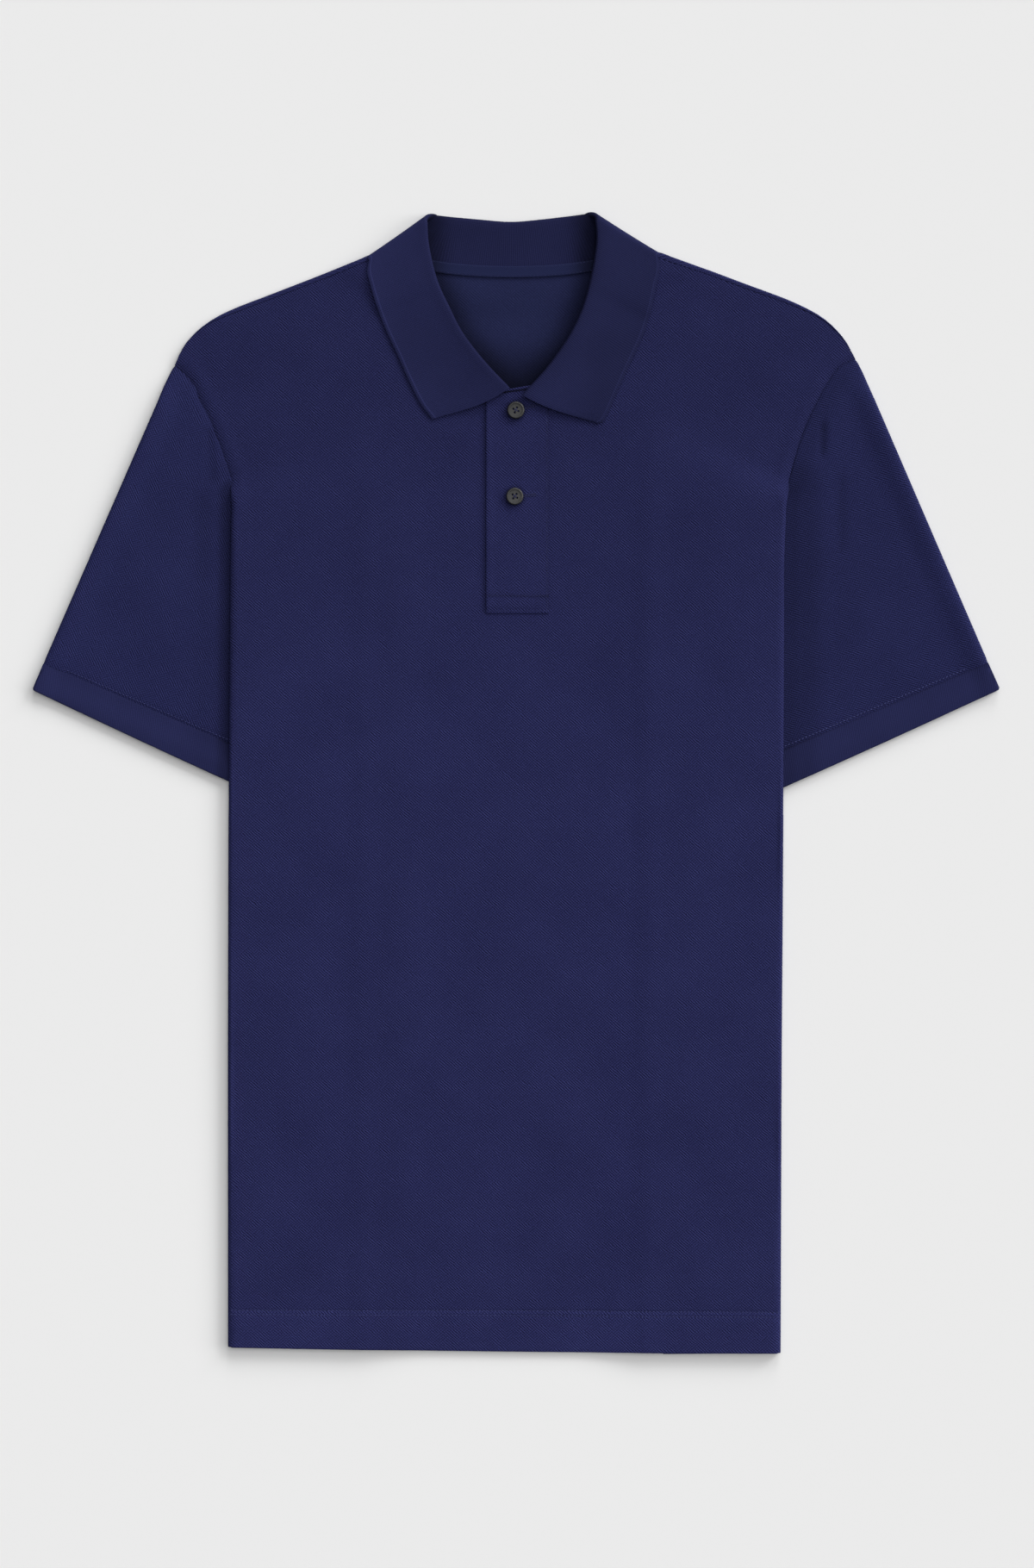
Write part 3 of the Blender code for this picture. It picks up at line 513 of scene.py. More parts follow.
def back():
    edges = left_edge, right_edge = panel_edge("left"), panel_edge("right")
    left, right = SHOULDER["left"], SHOULDER["right"][::-1]
    top = [row[2] for row in left] + [(x, back_neck_y(x)) for x in BACK_COLUMNS_X] + [row[2] for row in right]
    x0, x1 = left_edge[0, 0], right_edge[0, 0]
    half_left, half_right = SLIT_LEFT - x0, x1 - SLIT_RIGHT
    xs = [x0 + row[0] * half_left for row in left]
    ends = [x1 - row[0] * half_right for row in right]
    xs += [*np.interp(BACK_COLUMNS_X, NECK_SPAN, (xs[-1], ends[0])), *ends]
    across, v = np.array(xs), rows_share()
    upper = ruled([(x, SLIT_BOTTOM) for x in xs], top, v)
    for edge, reach in zip(edges, ((across - x0) / half_left, (x1 - across) / half_right)):
        upper += bowed(edge, v, reach / BOW_REACH)
    plan, columns, rows = finer(np.concatenate([lower_rows(across), upper], axis=1), across, 4.0)
    starts = [column_at(columns, x) for x in xs]
    count = len(left)

    def shoulder(grid, flat, keep, extra):
        """Rows that carry the back over the shoulder fold to the forward shoulder seam."""
        radius = LAYER / 2
        last = grid[:, -1].copy()
        seam, inward = last.copy(), np.zeros_like(last)
        folds, depth = np.zeros(len(last), bool), np.zeros((len(last), 1))
        for side, order in (("left", 1), ("right", -1)):
            knots, folded = across[::order][:count] * order, starts[::order][FOLD_START:count]
            at = np.arange(min(folded), max(folded) + 1)
            lines = ([row[k] for row in SHOULDER[side]] for k in (1, 2))
            front_seam, edge = (through(line, knots, columns[at] * order) for line in lines)
            at += extra
            seam[at, :2], inward[at, :2], folds[at] = front_seam, unit(front_seam - edge), True
            depth[at, 0] = np.minimum(1, np.linalg.norm(front_seam - edge, axis=1) / FOLD_FULL)
        centre = last + inward * (radius + WALL / 2) * depth**0.5
        more, more_flat = [], []
        for turn in np.radians((-90, -66, -42, -21, 0, 21, 42, 66, 90)):
            row = centre - inward * radius * depth * np.cos(turn)
            row[:, 2] = last[:, 2] + radius * (1 + np.sin(turn))
            more.append(row)
            more_flat.append(flat[:, -1] + (0, radius * (turn + math.pi / 2)))
        end = centre + inward * np.maximum(((seam - centre) * inward).sum(axis=1) - GAP, 0.05)[:, None]
        end[:, 2] = last[:, 2] + 2 * radius
        more.append(end)
        more_flat.append(more_flat[-1] + (0, 2.5))
        grid, flat = (np.concatenate([old[:, :-1], np.array(new).transpose(1, 0, 2)], axis=1)
                      for old, new in ((grid, more), (flat, more_flat)))
        folded = np.tile((folds[:-1] & folds[1:])[:, None], len(more) - 1)
        folded[extra + starts[count - 1] : extra + starts[-count]] = False
        return grid, flat, np.concatenate([keep, folded], axis=1)

    made = body_panel("back_cloth", plan, rows, back_z, FOLD_NESTED, FOLD_OUTER - FOLD_NESTED, level,
                      back_painted_shade, shoulder=shoulder)
    made.data.materials.append(FINISH["inside"])
    for face in made.data.polygons:
        if face.normal.z > 0.5 and abs(face.center.x) < 0.07 and face.center.z < 0.0035:
            face.material_index = 1
    # the painted shade of the neck's hollow is kept off the underside
    shade = made.data.attributes["shade"].data
    for point in made.data.vertices:
        if point.normal.z < 0.2:
            shade[point.index].value = 0.0
    return made


def flat_tube(name, lines, relief, material, grain, puff, tone):
    """A flattened tube. lines are its fine rings in plan, each from the outer fold to the inner one, and puff
    is how much higher each ring's outer fold stands. The cut is unrolled round the outer fold, which runs
    along the grain."""
    rings, flats = [], []
    corner, down = np.array(lines[0][0]), unit(grain)
    across = np.array((-down[1], down[0]))
    for line, lift in zip(lines, puff):
        wide = TUBE_RADIUS, TUBE_RADIUS + lift / 5  # of the inner fold and the outer one
        start = line[0] + unit(line[1] - line[0]) * (wide[1] + WALL / 2)
        end = line[-1] + unit(line[-2] - line[-1]) * (wide[0] + WALL / 2)
        flat = np.vstack([start, line[1:-1], end])
        rise = relief(*flat.T) + lift * (1 - smooth(chords(flat) / PUFF_REACH))
        upper = np.column_stack([flat, TUBE_Z + TUBE_RADIUS + rise])
        lower = np.column_stack([flat, np.full(len(flat), TUBE_Z - TUBE_RADIUS)])[::-1]
        ring = []
        turns = (upper, unit(line[-1] - line[-2]), 0), (lower, unit(line[0] - line[1]), 1)
        for run, toward, outer in turns:
            ring += list(run)
            high = TUBE_RADIUS + outer * lift / 2
            for turn in np.radians((60, 30, 0, -30, -60)):
                side = run[-1][:2] + toward * wide[outer] * np.cos(turn)
                ring.append((*side, TUBE_Z - TUBE_RADIUS + high - (2 * outer - 1) * high * np.sin(turn)))
        ring = np.array(ring)
        rings.append(ring)
        place = (ring[:, :2] - corner) @ across
        place = np.where(np.arange(len(ring)) < len(flat) + 3, place, -place)
        flats.append(np.column_stack([place, (corner - ring[:, :2]) @ down]))
    grid, flat = (np.array(a).transpose(1, 0, 2) for a in (rings, flats))
    if np.cross(grid[1, 0] - grid[0, 0], grid[0, 1] - grid[0, 0])[2] < 0:
        grid, flat = grid[::-1], flat[::-1]
    return shell(name, grid, flat, material, wrap=True, shade=tone(grid))


def along(points, shares):
    points = np.asarray(points, float)
    run = chords(points)
    return np.column_stack([np.interp(np.asarray(shares) * run[-1], run, points[:, k]) for k in (0, 1)])


def sleeve(side):
    """Rings from the armhole to the cuff seam."""
    shape = SLEEVE[side]
    ys = spread(ROW_KNOTS[-8:], 2.0)[::-1]
    seam = through(panel_edge(side), ROW_KNOTS[6:], ys)
    spans = chords(seam) / chords(seam)[-1]
    armhole = seam + np.array((OUT[side] * 0.9, -0.43)) * SEAM_CLOSE
    rings = np.linspace(0, 1, 68) ** 1.1
    outer, inner = along(shape["outer"], rings), along(shape["inner"], rings)
    outer[0] = seam[0] + unit(outer[1] - outer[0]) * SEAM_CLOSE
    armhole[0], armhole[-1] = outer[0], inner[0]
    cuff_seam = outer[-1] + spans[:, None] * (inner[-1] - outer[-1])
    plan = ruled(armhole, cuff_seam, rings)
    plan += bowed(outer, rings, spans) + bowed(inner, rings, 1 - spans)
    grain = np.array(shape["outer"][-1]) - shape["outer"][-2]
    return flat_tube(f"sleeve_{side}_cloth", plan.transpose(1, 0, 2), lambda x, y: sleeve_relief(side, x, y),
                     FINISH["even"], grain, PUFF * smooth(rings * SLEEVE_LENGTH / PUFF_START),
                     lambda grid: sleeve_painted_shading(side, grid))


def cuff(side):
    spans = np.concatenate([(0, 0.004, 0.009, 0.016, 0.026), np.linspace(0.04, 1, 58)])[:, None]
    outer, inner = cuff_line(side)
    mouth_outer, mouth_inner = np.array(SLEEVE[side]["mouth"])
    mouth, seam = mouth_outer + spans * (mouth_inner - mouth_outer), outer + spans * (inner - outer)
    down = unit(mouth[30] - seam[30])
    away, mouth = down * SEAM_CLOSE, mouth + down * MOUTH_BOW * np.sin(math.pi * spans)
    shares = np.array([0, 0.02, 0.06, 0.12, 0.2, 0.35, 0.5, 0.65, 0.8, 0.9, 0.95, 0.98, 1])
    mouth = mouth - down * round_corner(spans * np.linalg.norm(inner - outer), MOUTH_CORNER)
    lines = [seam + away + share * (mouth - seam - away) for share in shares]
    return flat_tube(f"cuff_{side}_rib", lines, cuff_relief(side), FINISH["rib"], down, PUFF + 0 * shares,
                     lambda grid: cuff_painted_shade(side, grid))


def cuff_line(side):
    """Both ends of the seam between a sleeve and its cuff."""
    return np.array(SLEEVE[side]["outer"][-1]), np.array(SLEEVE[side]["inner"][-1])


def collar_section(seam, fold, leaf, heights, sag=0.0):
    """One fine section, from the neck seam over the fold to the leaf's edge. sag pulls the leaf's middle
    along the collar."""
    seam, fold, leaf = (np.array(p, float) for p in (seam, fold, leaf))
    seam_z, stand_z, leaf_top_z, leaf_edge_z = heights
    toward = unit(fold - (seam + leaf) / 2)
    seam = seam + unit(fold - seam) * SEAM_PLAY
    radius = abs(leaf_top_z - stand_z) / 2
    centre = fold - toward * (radius + WALL / 2)
    points = []
    for t in np.linspace(0, 1, 9)[:-1]:
        points.append((*(seam + t * (centre - seam)), seam_z + (stand_z - seam_z) * t**STAND_RISE))
    for turn in np.linspace(-math.pi / 2, math.pi / 2, 11):
        height = stand_z + (1 + math.sin(turn)) / 2 * (leaf_top_z - stand_z)
        points.append((*(centre + toward * radius * math.cos(turn)), height))
    across = leaf - centre
    aside = unit((across[1], -across[0]))
    for t in LEAF_STEPS:
        height = leaf_edge_z + (leaf_top_z - leaf_edge_z) * (1 - t) ** LEAF_DROP
        points.append((*(centre + t * across + aside * sag * SAG_SHAPE * t * (1 - t) ** 1.6), height))
    return np.array(points)


def collar_front(side):
    lines = [np.array([row[k] for row in COLLAR[side]]) for k in range(3)]
    knots = chords(lines[1])
    at = spread(knots, 3.0)
    sections = []
    for place, seam, fold, leaf in zip(at, *(through(line, knots, at) for line in lines)):
        seam_z = END_STAND_Z + (front_z(*seam) - END_STAND_Z) * smooth(place / knots[1])
        edge_z = max(front_z(*seam), front_z(*leaf)) + LAYER
        sag = END_SAG[side] * (1 - smooth(place / SAG_REACH))
        sections.append(collar_section(seam, fold, leaf, (seam_z, STAND_FRONT_Z, LEAF_FRONT_Z, edge_z), sag))
    return sections


def collar_back():
    """The sections from the left crease to the right one."""
    first, last = COLLAR["left"][-1], COLLAR["right"][-1]
    off = np.array([x for x, _ in BACK_FOLD]) - NECK_MIDDLE_X
    seam_x, leaf_x = NECK_MIDDLE_X + off * SEAM_SPREAD, NECK_MIDDLE_X + off * LEAF_SPREAD
    lines = ((first[0], *zip(seam_x, back_neck_y(seam_x)), last[0]),
             (BACK_CORNER["left"], *BACK_FOLD, BACK_CORNER["right"]),
             (first[2], *zip(leaf_x, leaf_back_y(leaf_x)), last[2]))
    knots = chords(lines[1])
    lines = (through(line, knots, spread(knots, 3.5)) for line in lines)
    return [collar_section(seam, fold, leaf, (back_z(*seam), STAND_BACK_Z, LEAF_BACK_Z, LEAF_BACK_Z))
            for seam, fold, leaf in zip(*lines)]


def collar_crease(side, front_end, back_end):
    """The sections round the crease where the collar turns from the front to the back of the neck."""
    reach, middle = (front_end[:, 2] - back_end[:, 2]) / 2, (front_end[:, 2] + back_end[:, 2]) / 2
    sections = []
    for turn in np.radians(range(15, 180, 15)):
        section = front_end + (back_end - front_end) * (1 - np.cos(turn)) / 2
        section[:, :2] += np.outer(reach * np.sin(turn), CREASE[side])
        section[:, 2] = middle + reach * np.cos(turn)
        sections.append(section)
    return sections


def collar():
    left, right, back_part = collar_front("left"), collar_front("right"), collar_back()
    sections = left + collar_crease("left", left[-1], back_part[0]) + back_part
    sections += collar_crease("right", right[-1], back_part[-1])[::-1] + right[::-1]
    grid = np.array(sections)[::-1]
    height = np.array([chords(section) for section in grid])
    length = np.broadcast_to(chords(grid[:, LEAF_ROW])[:, None], height.shape)
    flat = np.dstack([length, height[:, -1:] - height])
    return shell("collar_knit", grid, flat, FINISH["collar"], thin_edge=0.45, shade=collar_painted_shading(grid))


def neck_tape():
    x = np.linspace(-60, 55, 60)[:, None]
    y = back_neck_y(x)
    z = back_z(x, y) + WALL / 2 + GAP + TAPE_WALL / 2
    dy, dz = np.transpose(TAPE_ROWS)
    # painted shade: the tape darker towards both sides of the neck's hollow
    return shell("neck_tape_twill", np.dstack(np.broadcast_arrays(x, y + dy, z + dz)),
                 np.dstack(np.broadcast_arrays(x, dy)), FINISH["tape"], TAPE_WALL, thin_edge=0.4,
                 shade=0.6 * neck_side(x))


def band(name, left, right, bottom, top_inset, z, tab_top, relief):
    """A placket band, with a narrow tab that runs up between the collar's ends."""
    tab_left, tab_right = PLACKET_TAB["left"], PLACKET_TAB["right"]
    xs = spread((left, tab_left, tab_right, right), 1.4, (left + 0.35, right - 0.35))
    known = [COLLAR[side][k][0] for side, k in (("left", 1), ("left", 0), ("right", 0), ("right", 1))]
    tops = (np.interp(xs, *zip(*known)) - top_inset)[:, None]
    share, tab = spread((0.0, 1.0), 1 / 88, (0.0025, 0.9975)), np.linspace(0, 1, 17)[1:]
    end = tab_top[0] + tab_top[1] * xs[:, None]
    y = np.hstack([bottom + share * (tops - bottom), tops + tab * (end - tops)])
    x = np.broadcast_to(xs[:, None], y.shape)
    grid = np.dstack([x, y, z + relief(x, y)])
    keep = np.ones((len(xs) - 1, grid.shape[1] - 1), bool)
    middle = (xs[:-1] + xs[1:]) / 2
    keep[:, len(share) - 1 :] = ((middle > tab_left) & (middle < tab_right))[:, None]
    return shell(name, grid, grid[..., :2], FINISH["pique"], keep=keep, thin_edge=0.7, shade=band_painted_shading(x, y))


def button(name, x, y, turn):
    """A turned horn disc with a raised rim, a shallow dish and four holes."""
    base, sides, last = BUTTON_Z, 64, len(BUTTON_PROFILE) - 1
    around = [(math.cos(angle), math.sin(angle)) for angle in (2 * math.pi * k / sides for k in range(sides))]
    points = [(x, y, base)]
    for radius, height in BUTTON_PROFILE:
        points += [(x + radius * c, y + radius * s, base + height) for c, s in around]
    points.append((x, y, base + BUTTON_PROFILE[-1][1]))
    ring = lambda r, k: 1 + r * sides + k % sides
    faces = [[0, ring(0, k + 1), ring(0, k)] for k in range(sides)]
    faces += [[ring(r, k), ring(r, k + 1), ring(r + 1, k + 1), ring(r + 1, k)]
              for r in range(last) for k in range(sides)]
    faces += [[len(points) - 1, ring(last, k), ring(last, k + 1)] for k in range(sides)]
    uvs = np.array(points)[:, :2] - (x, y)
    # painted shade: darker towards the upper left, and the upper button darker overall
    shade = np.clip(uvs @ (-1, 1) * BUTTON_LEE + BUTTON_SHADE[name], 0, 1)
    disc = cloth_object(f"button_{name}_horn", points, faces, uvs, FINISH["horn"], shade)
    cutters = []
    for hole_x, hole_y in hole_places(x, y, turn):
        bpy.ops.mesh.primitive_cylinder_add(vertices=20, radius=HOLE_RADIUS * MM, depth=10 * MM,
                                            location=(hole_x * MM, hole_y * MM, base * MM))
        cutters.append(bpy.context.object)
        disc.modifiers.new("hole", "BOOLEAN").object = cutters[-1]
    plain_mesh(disc)
    for cutter in cutters:
        bpy.data.objects.remove(cutter, do_unlink=True)
    return disc


def hole_places(x, y, turn):
    c, s = (HOLE_OFFSET * part(math.radians(turn)) for part in (math.cos, math.sin))
    corners = (1, 1), (-1, 1), (-1, -1), (1, -1)
    return [(x + across * c - up * s, y + across * s + up * c) for across, up in corners]


def plain_mesh(thing):
    """Replaces the object's mesh by what its modifiers make of it."""
    made = bpy.data.meshes.new_from_object(thing.evaluated_get(bpy.context.evaluated_depsgraph_get()))
    old = thing.data
    thing.modifiers.clear()
    thing.data = made
    made.name = thing.name
    bpy.data.meshes.remove(old)


# ---- soft relief ----


def distance_to(x, y, line):
    """From each place to the broken line."""
    best = np.full(np.shape(x), 1e9)
    for (ax, ay), (bx, by) in zip(line[:-1], line[1:]):
        dx, dy = bx - ax, by - ay
        t = np.clip(((x - ax) * dx + (y - ay) * dy) / (dx * dx + dy * dy), 0, 1)
        best = np.minimum(best, np.hypot(x - ax - t * dx, y - ay - t * dy))
    return best


def bump(distance, width):
    return np.exp(-((distance / width) ** 2))


def hem_row_y(row, x):
    left, right = HEM_ROWS[row]
    return left + (right - left) * (x - HEM_FROM) / HEM_LENGTH


def hem_relief(x, y):
    """The doubled hem stands a little proud and is drawn in along its two rows."""
    upper, lower = hem_row_y(0, x), hem_row_y(1, x)
    pucker = np.sin(x / 1.45 + 1.7 * np.sin(x / 23)) * bump(y - lower, 7) * 0.05
    return 0.28 * smooth((upper - y) / 2.5) - 0.22 * (bump(y - upper, 0.7) + bump(y - lower, 0.7)) + pucker


def waves(x, y):
    """The slight unevenness of cloth smoothed out by hand."""
    return (
        0.16 * np.sin(x / 31 + y / 83 + 0.6 * np.sin(y / 57))
        + 0.12 * np.sin(y / 37 - x / 71 + 1.3)
        + 0.07 * np.sin(x / 13.5 + y / 27 + 1.2 * np.sin(y / 41 + 0.4))
    )


def creased(x, y, creases):
    """How deep the creases are, each a line with its depth and width."""
    return sum(depth * bump(distance_to(x, y, line), width) for line, depth, width in creases)


def from_side(x, y, side):
    """The distance to the body's side, below the underarm."""
    return distance_to(x, y, [(side_x(side, foot), foot) for foot in (UNDERARM_Y, 0.0)])


def from_armhole(x, y, side):
    return distance_to(x, y, [(side_x(side, UNDERARM_Y), UNDERARM_Y), *ARMHOLE[side]])


def front_relief(x, y):
    high = hem_relief(x, y) + waves(x, y) * smooth((y - HEM_Y_RIGHT) / 60) - creased(x, y, BODY_CREASES)
    for side in OUT:
        seam = from_armhole(x, y, side)
        high += 0.4 * bump(seam - 6.5, 3.2) - 0.25 * bump(seam, 1.6)
    near_neck = smooth((y - 225) / 20) * (1 - smooth((np.abs(x) - 100) / 25))
    near_placket = (1 - smooth((np.abs(x - 1) - 24) / 10)) * smooth((y - 100) / 12)
    return high * (1 - np.maximum(near_neck, near_placket))


def sleeve_relief(side, x, y):
    shape = SLEEVE[side]
    high = 0.8 * waves(x, y) - 0.2 * bump(distance_to(x, y, cuff_line(side)), 2.0)
    high -= 0.35 * bump(from_side(x, y, side), 14) + creased(x, y, SLEEVE_CREASES[side])
    ends = np.minimum(distance_to(x, y, shape["outer"]), distance_to(x, y, shape["inner"]))
    return (high + 0.2) * smooth(ends / 6) * smooth(distance_to(x, y, ARMHOLE[side]) / 5)


def cuff_relief(side):
    outer, inner = cuff_line(side)
    line = unit(inner - outer)
    out = np.array((line[1], -line[0]))
    out *= np.sign((SLEEVE[side]["mouth"][0] - outer) @ out)

    def rise(x, y):
        down = (x - outer[0]) * out[0] + (y - outer[1]) * out[1]
        ends = np.minimum(np.hypot(x - x[0], y - y[0]), np.hypot(x - x[-1], y - y[-1]))
        crown = CUFF_CROWN * np.sin(np.clip(down / 20, 0, 1) * math.pi) ** 0.7 * smooth(ends / 4)
        return crown + MOUTH_OPEN * smooth((down - 4) / 14) * smooth(ends / 14)

    return rise


def placket_relief(x, y):
    """The folded edge swells a little and the stitch rows draw the band in."""
    left, right, bottom = PLACKET["left"], PLACKET["right"], PLACKET["bottom"]
    high = 0.18 * bump(x - left - 2.2, 2.0) + 0.12 * bump(x - right + 2.6, 2.0)
    high -= 0.2 * bump(y - PLACKET_ROW_Y, 0.9)
    sewn = np.maximum(smooth((x - right + 10) / 9.6), smooth((bottom + 5 - y) / 4.5))
    return high * smooth((260 - y) / 30) * (1 - sewn) - SEWN_DOWN * sewn


# ---- painted shading: how much darker than its finish a cloth is painted where shade falls, or lighter where light is painted ----


def front_painted_shading(grid):
    """Painted shading: the armhole seams darker, as shade falls in them, broad painted zones that even out
    what light the sloping sides and the upper body get, darker towards the collar and lighter below the hem's
    upper row.
    """
    x, y = grid[..., 0], grid[..., 1]
    tone = 0.07 * smooth((y - 20) / 160) - 0.08 * smooth((hem_row_y(0, x) - y) / 2)
    tone = tone + 0.05 * smooth((y - 185) / 50) + 0.08 * bump(x + 90, 18) * (1 - smooth((y - 190) / 40))
    tone = tone - 0.055 * bump(x - 62, 20) * (1 - smooth((y + 20) / 120))
    tone = tone - 0.05 * bump(x - 77, 9) * (1 - smooth((y + 80) / 130))
    return tone + 0.2 * sum(bump(from_armhole(x, y, side), 1.3) for side in OUT)


def back_painted_shade(grid):
    """Painted shade: the hollow of the neck gets less light towards its sides and its foot."""
    x, y, z = np.moveaxis(grid, -1, 0)
    left, right = (distance_to(x, y, [row[1] for row in COLLAR[side]]) for side in OUT)
    inside = smooth((y - 255) / 6) * (1 - smooth((np.abs(x + 3) - 62) / 6)) * (z < 4.5)
    light = (1 - 0.6 * bump(left, 9.0)) * (1 - 0.5 * bump(right, 11.0)) * (1 - 0.42 * smooth((304 - y) / 30))
    return inside * (1 - 0.8 * light)


def beside_body(side, body):
    """The shade on a sleeve in the lee of the body's folded side."""
    wide, close = (0.08, 0.27) if side == "left" else (0.18, 0.08)
    return wide * (1 - smooth((body - 14) / 16)) + close * (1 - smooth((body - 4.5) / 6))


def cuff_painted_shade(side, grid):
    # painted shade beside the body's side and in the cuff seam, and a slightly darker cuff overall
    x, y = grid[..., 0], grid[..., 1]
    seam = distance_to(x, y, cuff_line(side))
    return beside_body(side, np.abs(x - side_x(side, 0.0))) + 0.3 * bump(seam, 0.8) + 0.03


def band_painted_shading(x, y):
    """Painted shading: darker where the upper band ends on the under one, along its stitch row, over its sewn
    side and close round the buttons, as shade falls there; painted light at its foot and along its free edge.
    """
    tab_y, tab_slant = TAB_TOP["upper"]
    tone = 0.85 * bump(y - tab_y - tab_slant * x + 0.3, 0.8) + 0.3 * bump(y - PLACKET_ROW_Y + 0.6, 0.9)
    tone = tone - 0.55 * bump(y - PLACKET["bottom"], 1.4) - 0.35 * bump(x - PLACKET["left"], 0.8)
    from_right = x - PLACKET["right"]
    tone = tone + 0.09 * smooth((from_right + 11) / 4) + 0.25 * bump(from_right + 0.3, 0.6)
    for _, button_x, button_y, _ in BUTTONS:
        tone = tone + 0.4 * bump(np.maximum(np.hypot(x - button_x, y - button_y) - BUTTON_RADIUS, 0), 1.6)
    return tone + 0.03 + 0.04 * smooth((y - 185) / 50)


def sleeve_painted_shading(side, grid):
    x, y = grid[..., 0], grid[..., 1]
    # painted shading: shade beside the body's side, along the armhole seam and in the creases, and a little
    # darker overall; on the right sleeve also a broad shade beside the seam, a soft dark spot and painted
    # light along the outer fold
    seam = distance_to(x, y, ARMHOLE[side])
    tone = beside_body(side, from_side(x, y, side)) + 0.04 + 0.15 * bump(seam, 1.2)
    if side == "right":
        outer = distance_to(x, y, SLEEVE[side]["outer"])
        tone = tone + 0.12 * bump(seam - 6, 8) - 0.13 * bump(outer, 8) + 0.03
        tone = tone + 0.06 * bump(np.hypot(x - 222, (y - 135) / 3.5), 15)
    return tone + 0.4 * creased(x, y, SLEEVE_CREASES[side])


def neck_side(x):
    """Near 1 at both sides of the neck's hollow, and 0 in its middle."""
    return 1 - np.exp(-((np.abs(x + 4.5) / 46.5) ** 10))


def collar_painted_shading(grid):
    """Painted shading: the stand inside the neck, most at the neck's sides, and the fold edges of the leaves
    are darker, as shade falls there; on the leaves painted light and shade, the right leaf darker and the top
    of the left one lighter.
    """
    row, x, y = np.arange(grid.shape[1])[None, :], grid[..., 0], grid[..., 1]
    fold = bump(row - 14.5, 4.0)
    stand = 1 - smooth((row - 10) / 5)
    leaf = 0.01 + 0.15 * smooth((x - 30) / 30) - 0.1 * smooth((y - 300) / 25) * smooth((-40 - x) / 10)
    leaf = leaf + 0.07 * smooth((312 - y) / 20) * smooth((x - 15) / 20)
    return leaf * (1 - stand) + 0.38 * fold + stand * (0.2 + 0.5 * neck_side(x))


# ---- finishes ----


def linear(colour):
    """A screen colour from 0 to 255 as the shader's linear one."""
    return [c / 12.92 if c <= 0.04045 else ((c + 0.055) / 1.055) ** 2.4 for c in np.array(colour) / 255]


def add_node(tree, kind, inputs=None, **settings):
    """A new node with these settings, fed with sockets or with plain values."""
    made = tree.nodes.new(kind)
    for key, setting in settings.items():
        setattr(made, key, setting)
    for key, given in (inputs or {}).items():
        if isinstance(given, bpy.types.NodeSocket):
            tree.links.new(given, made.inputs[key])
        else:
            made.inputs[key].default_value = given
    return made


class Value:
    """A number, vector or colour in a finish's node tree. Sums on it add nodes."""

    def __init__(self, tree, socket):
        self.tree, self.socket = tree, socket

    def node(self, kind, inputs, output=0, **settings):
        """The output of a new node that is fed with these inputs."""
        inputs = {key: given.socket if isinstance(given, Value) else given for key, given in inputs.items()}
        return Value(self.tree, add_node(self.tree, kind, inputs, **settings).outputs[output])

    def maths(self, operation, *other):
        return self.node("ShaderNodeMath", dict(enumerate((self, *other))), operation=operation)

    def __add__(self, other):
        return self.maths("ADD", other)

    def __sub__(self, other):
        return self.maths("SUBTRACT", other)

    def __rsub__(self, other):
        return self.node("ShaderNodeMath", {0: other, 1: self}, operation="SUBTRACT")

    def __mul__(self, other):
        return self.maths("MULTIPLY", other)

    __radd__, __rmul__ = __add__, __mul__

    def wave(self, length):
        """From -1 to 1 and back over each length."""
        return (self * (2 * math.pi / length)).cos()

    def cos(self):
        return self.maths("COSINE")

    def within(self, low, high):
        """0 at low and 1 at high, smoothly between."""
        return self.node("ShaderNodeMapRange", {"Value": self, "From Min": low, "From Max": high},
                         interpolation_type="SMOOTHSTEP")

    def part(self, axis):
        return self.node("ShaderNodeSeparateXYZ", {0: self}, output=axis)

    def scaled(self, x, y, z=1.0):
        return self.node("ShaderNodeVectorMath", {0: self, 1: (x, y, z)}, operation="MULTIPLY")

    def noise(self, scale, detail=2.0, roughness=0.5):
        return self.node("ShaderNodeTexNoise", {"Vector": self, "Scale": scale, "Detail": detail,
                                                "Roughness": roughness})

    def colours(self, *stops):
        """Through a colour ramp. stops are places and screen colours."""
        ramp = self.node("ShaderNodeValToRGB", {0: self})
        band = ramp.socket.node.color_ramp
        while len(band.elements) < len(stops):
            band.elements.new(0.5)
        for element, (place, colour) in zip(band.elements, stops):
            element.position, element.color = place, (*linear(colour), 1)
        return ramp


def new_finish(name, roughness, sheen=0.05, specular=0.06, on_cut=True):
    """A finish, its shader and the place it is painted by, which is on the flat cut in millimetres or in the
    object."""
    made = bpy.data.materials.new(name)
    made.use_nodes = True
    tree = made.node_tree
    shader = tree.nodes["Principled BSDF"]
    for key, value in (("Roughness", roughness), ("Sheen Weight", sheen), ("Sheen Roughness", 0.4),
                       ("Sheen Tint", (*linear(SHEEN), 1)), ("Specular IOR Level", specular)):
        shader.inputs[key].default_value = value
    if on_cut:
        place = add_node(tree, "ShaderNodeUVMap", uv_map="cut").outputs["UV"]
    else:
        place = add_node(tree, "ShaderNodeTexCoord").outputs["Object"]
    return made, shader, Value(tree, place)


def finish_surface(shader, colour, height, depth):
    """Colour, less the piece's painted shade, into the shader, and height times depth in millimetres into its
    bump."""
    shade = colour.node("ShaderNodeAttribute", {}, output=2, attribute_name="shade")
    colour = colour.node("ShaderNodeVectorMath", {0: colour, "Scale": 1.0 - shade}, operation="SCALE")
    colour.tree.links.new(colour.socket, shader.inputs["Base Color"])
    lift = height.node("ShaderNodeBump", {"Height": height, "Distance": depth * MM, "Strength": 1.0})
    colour.tree.links.new(lift.socket, shader.inputs["Normal"])


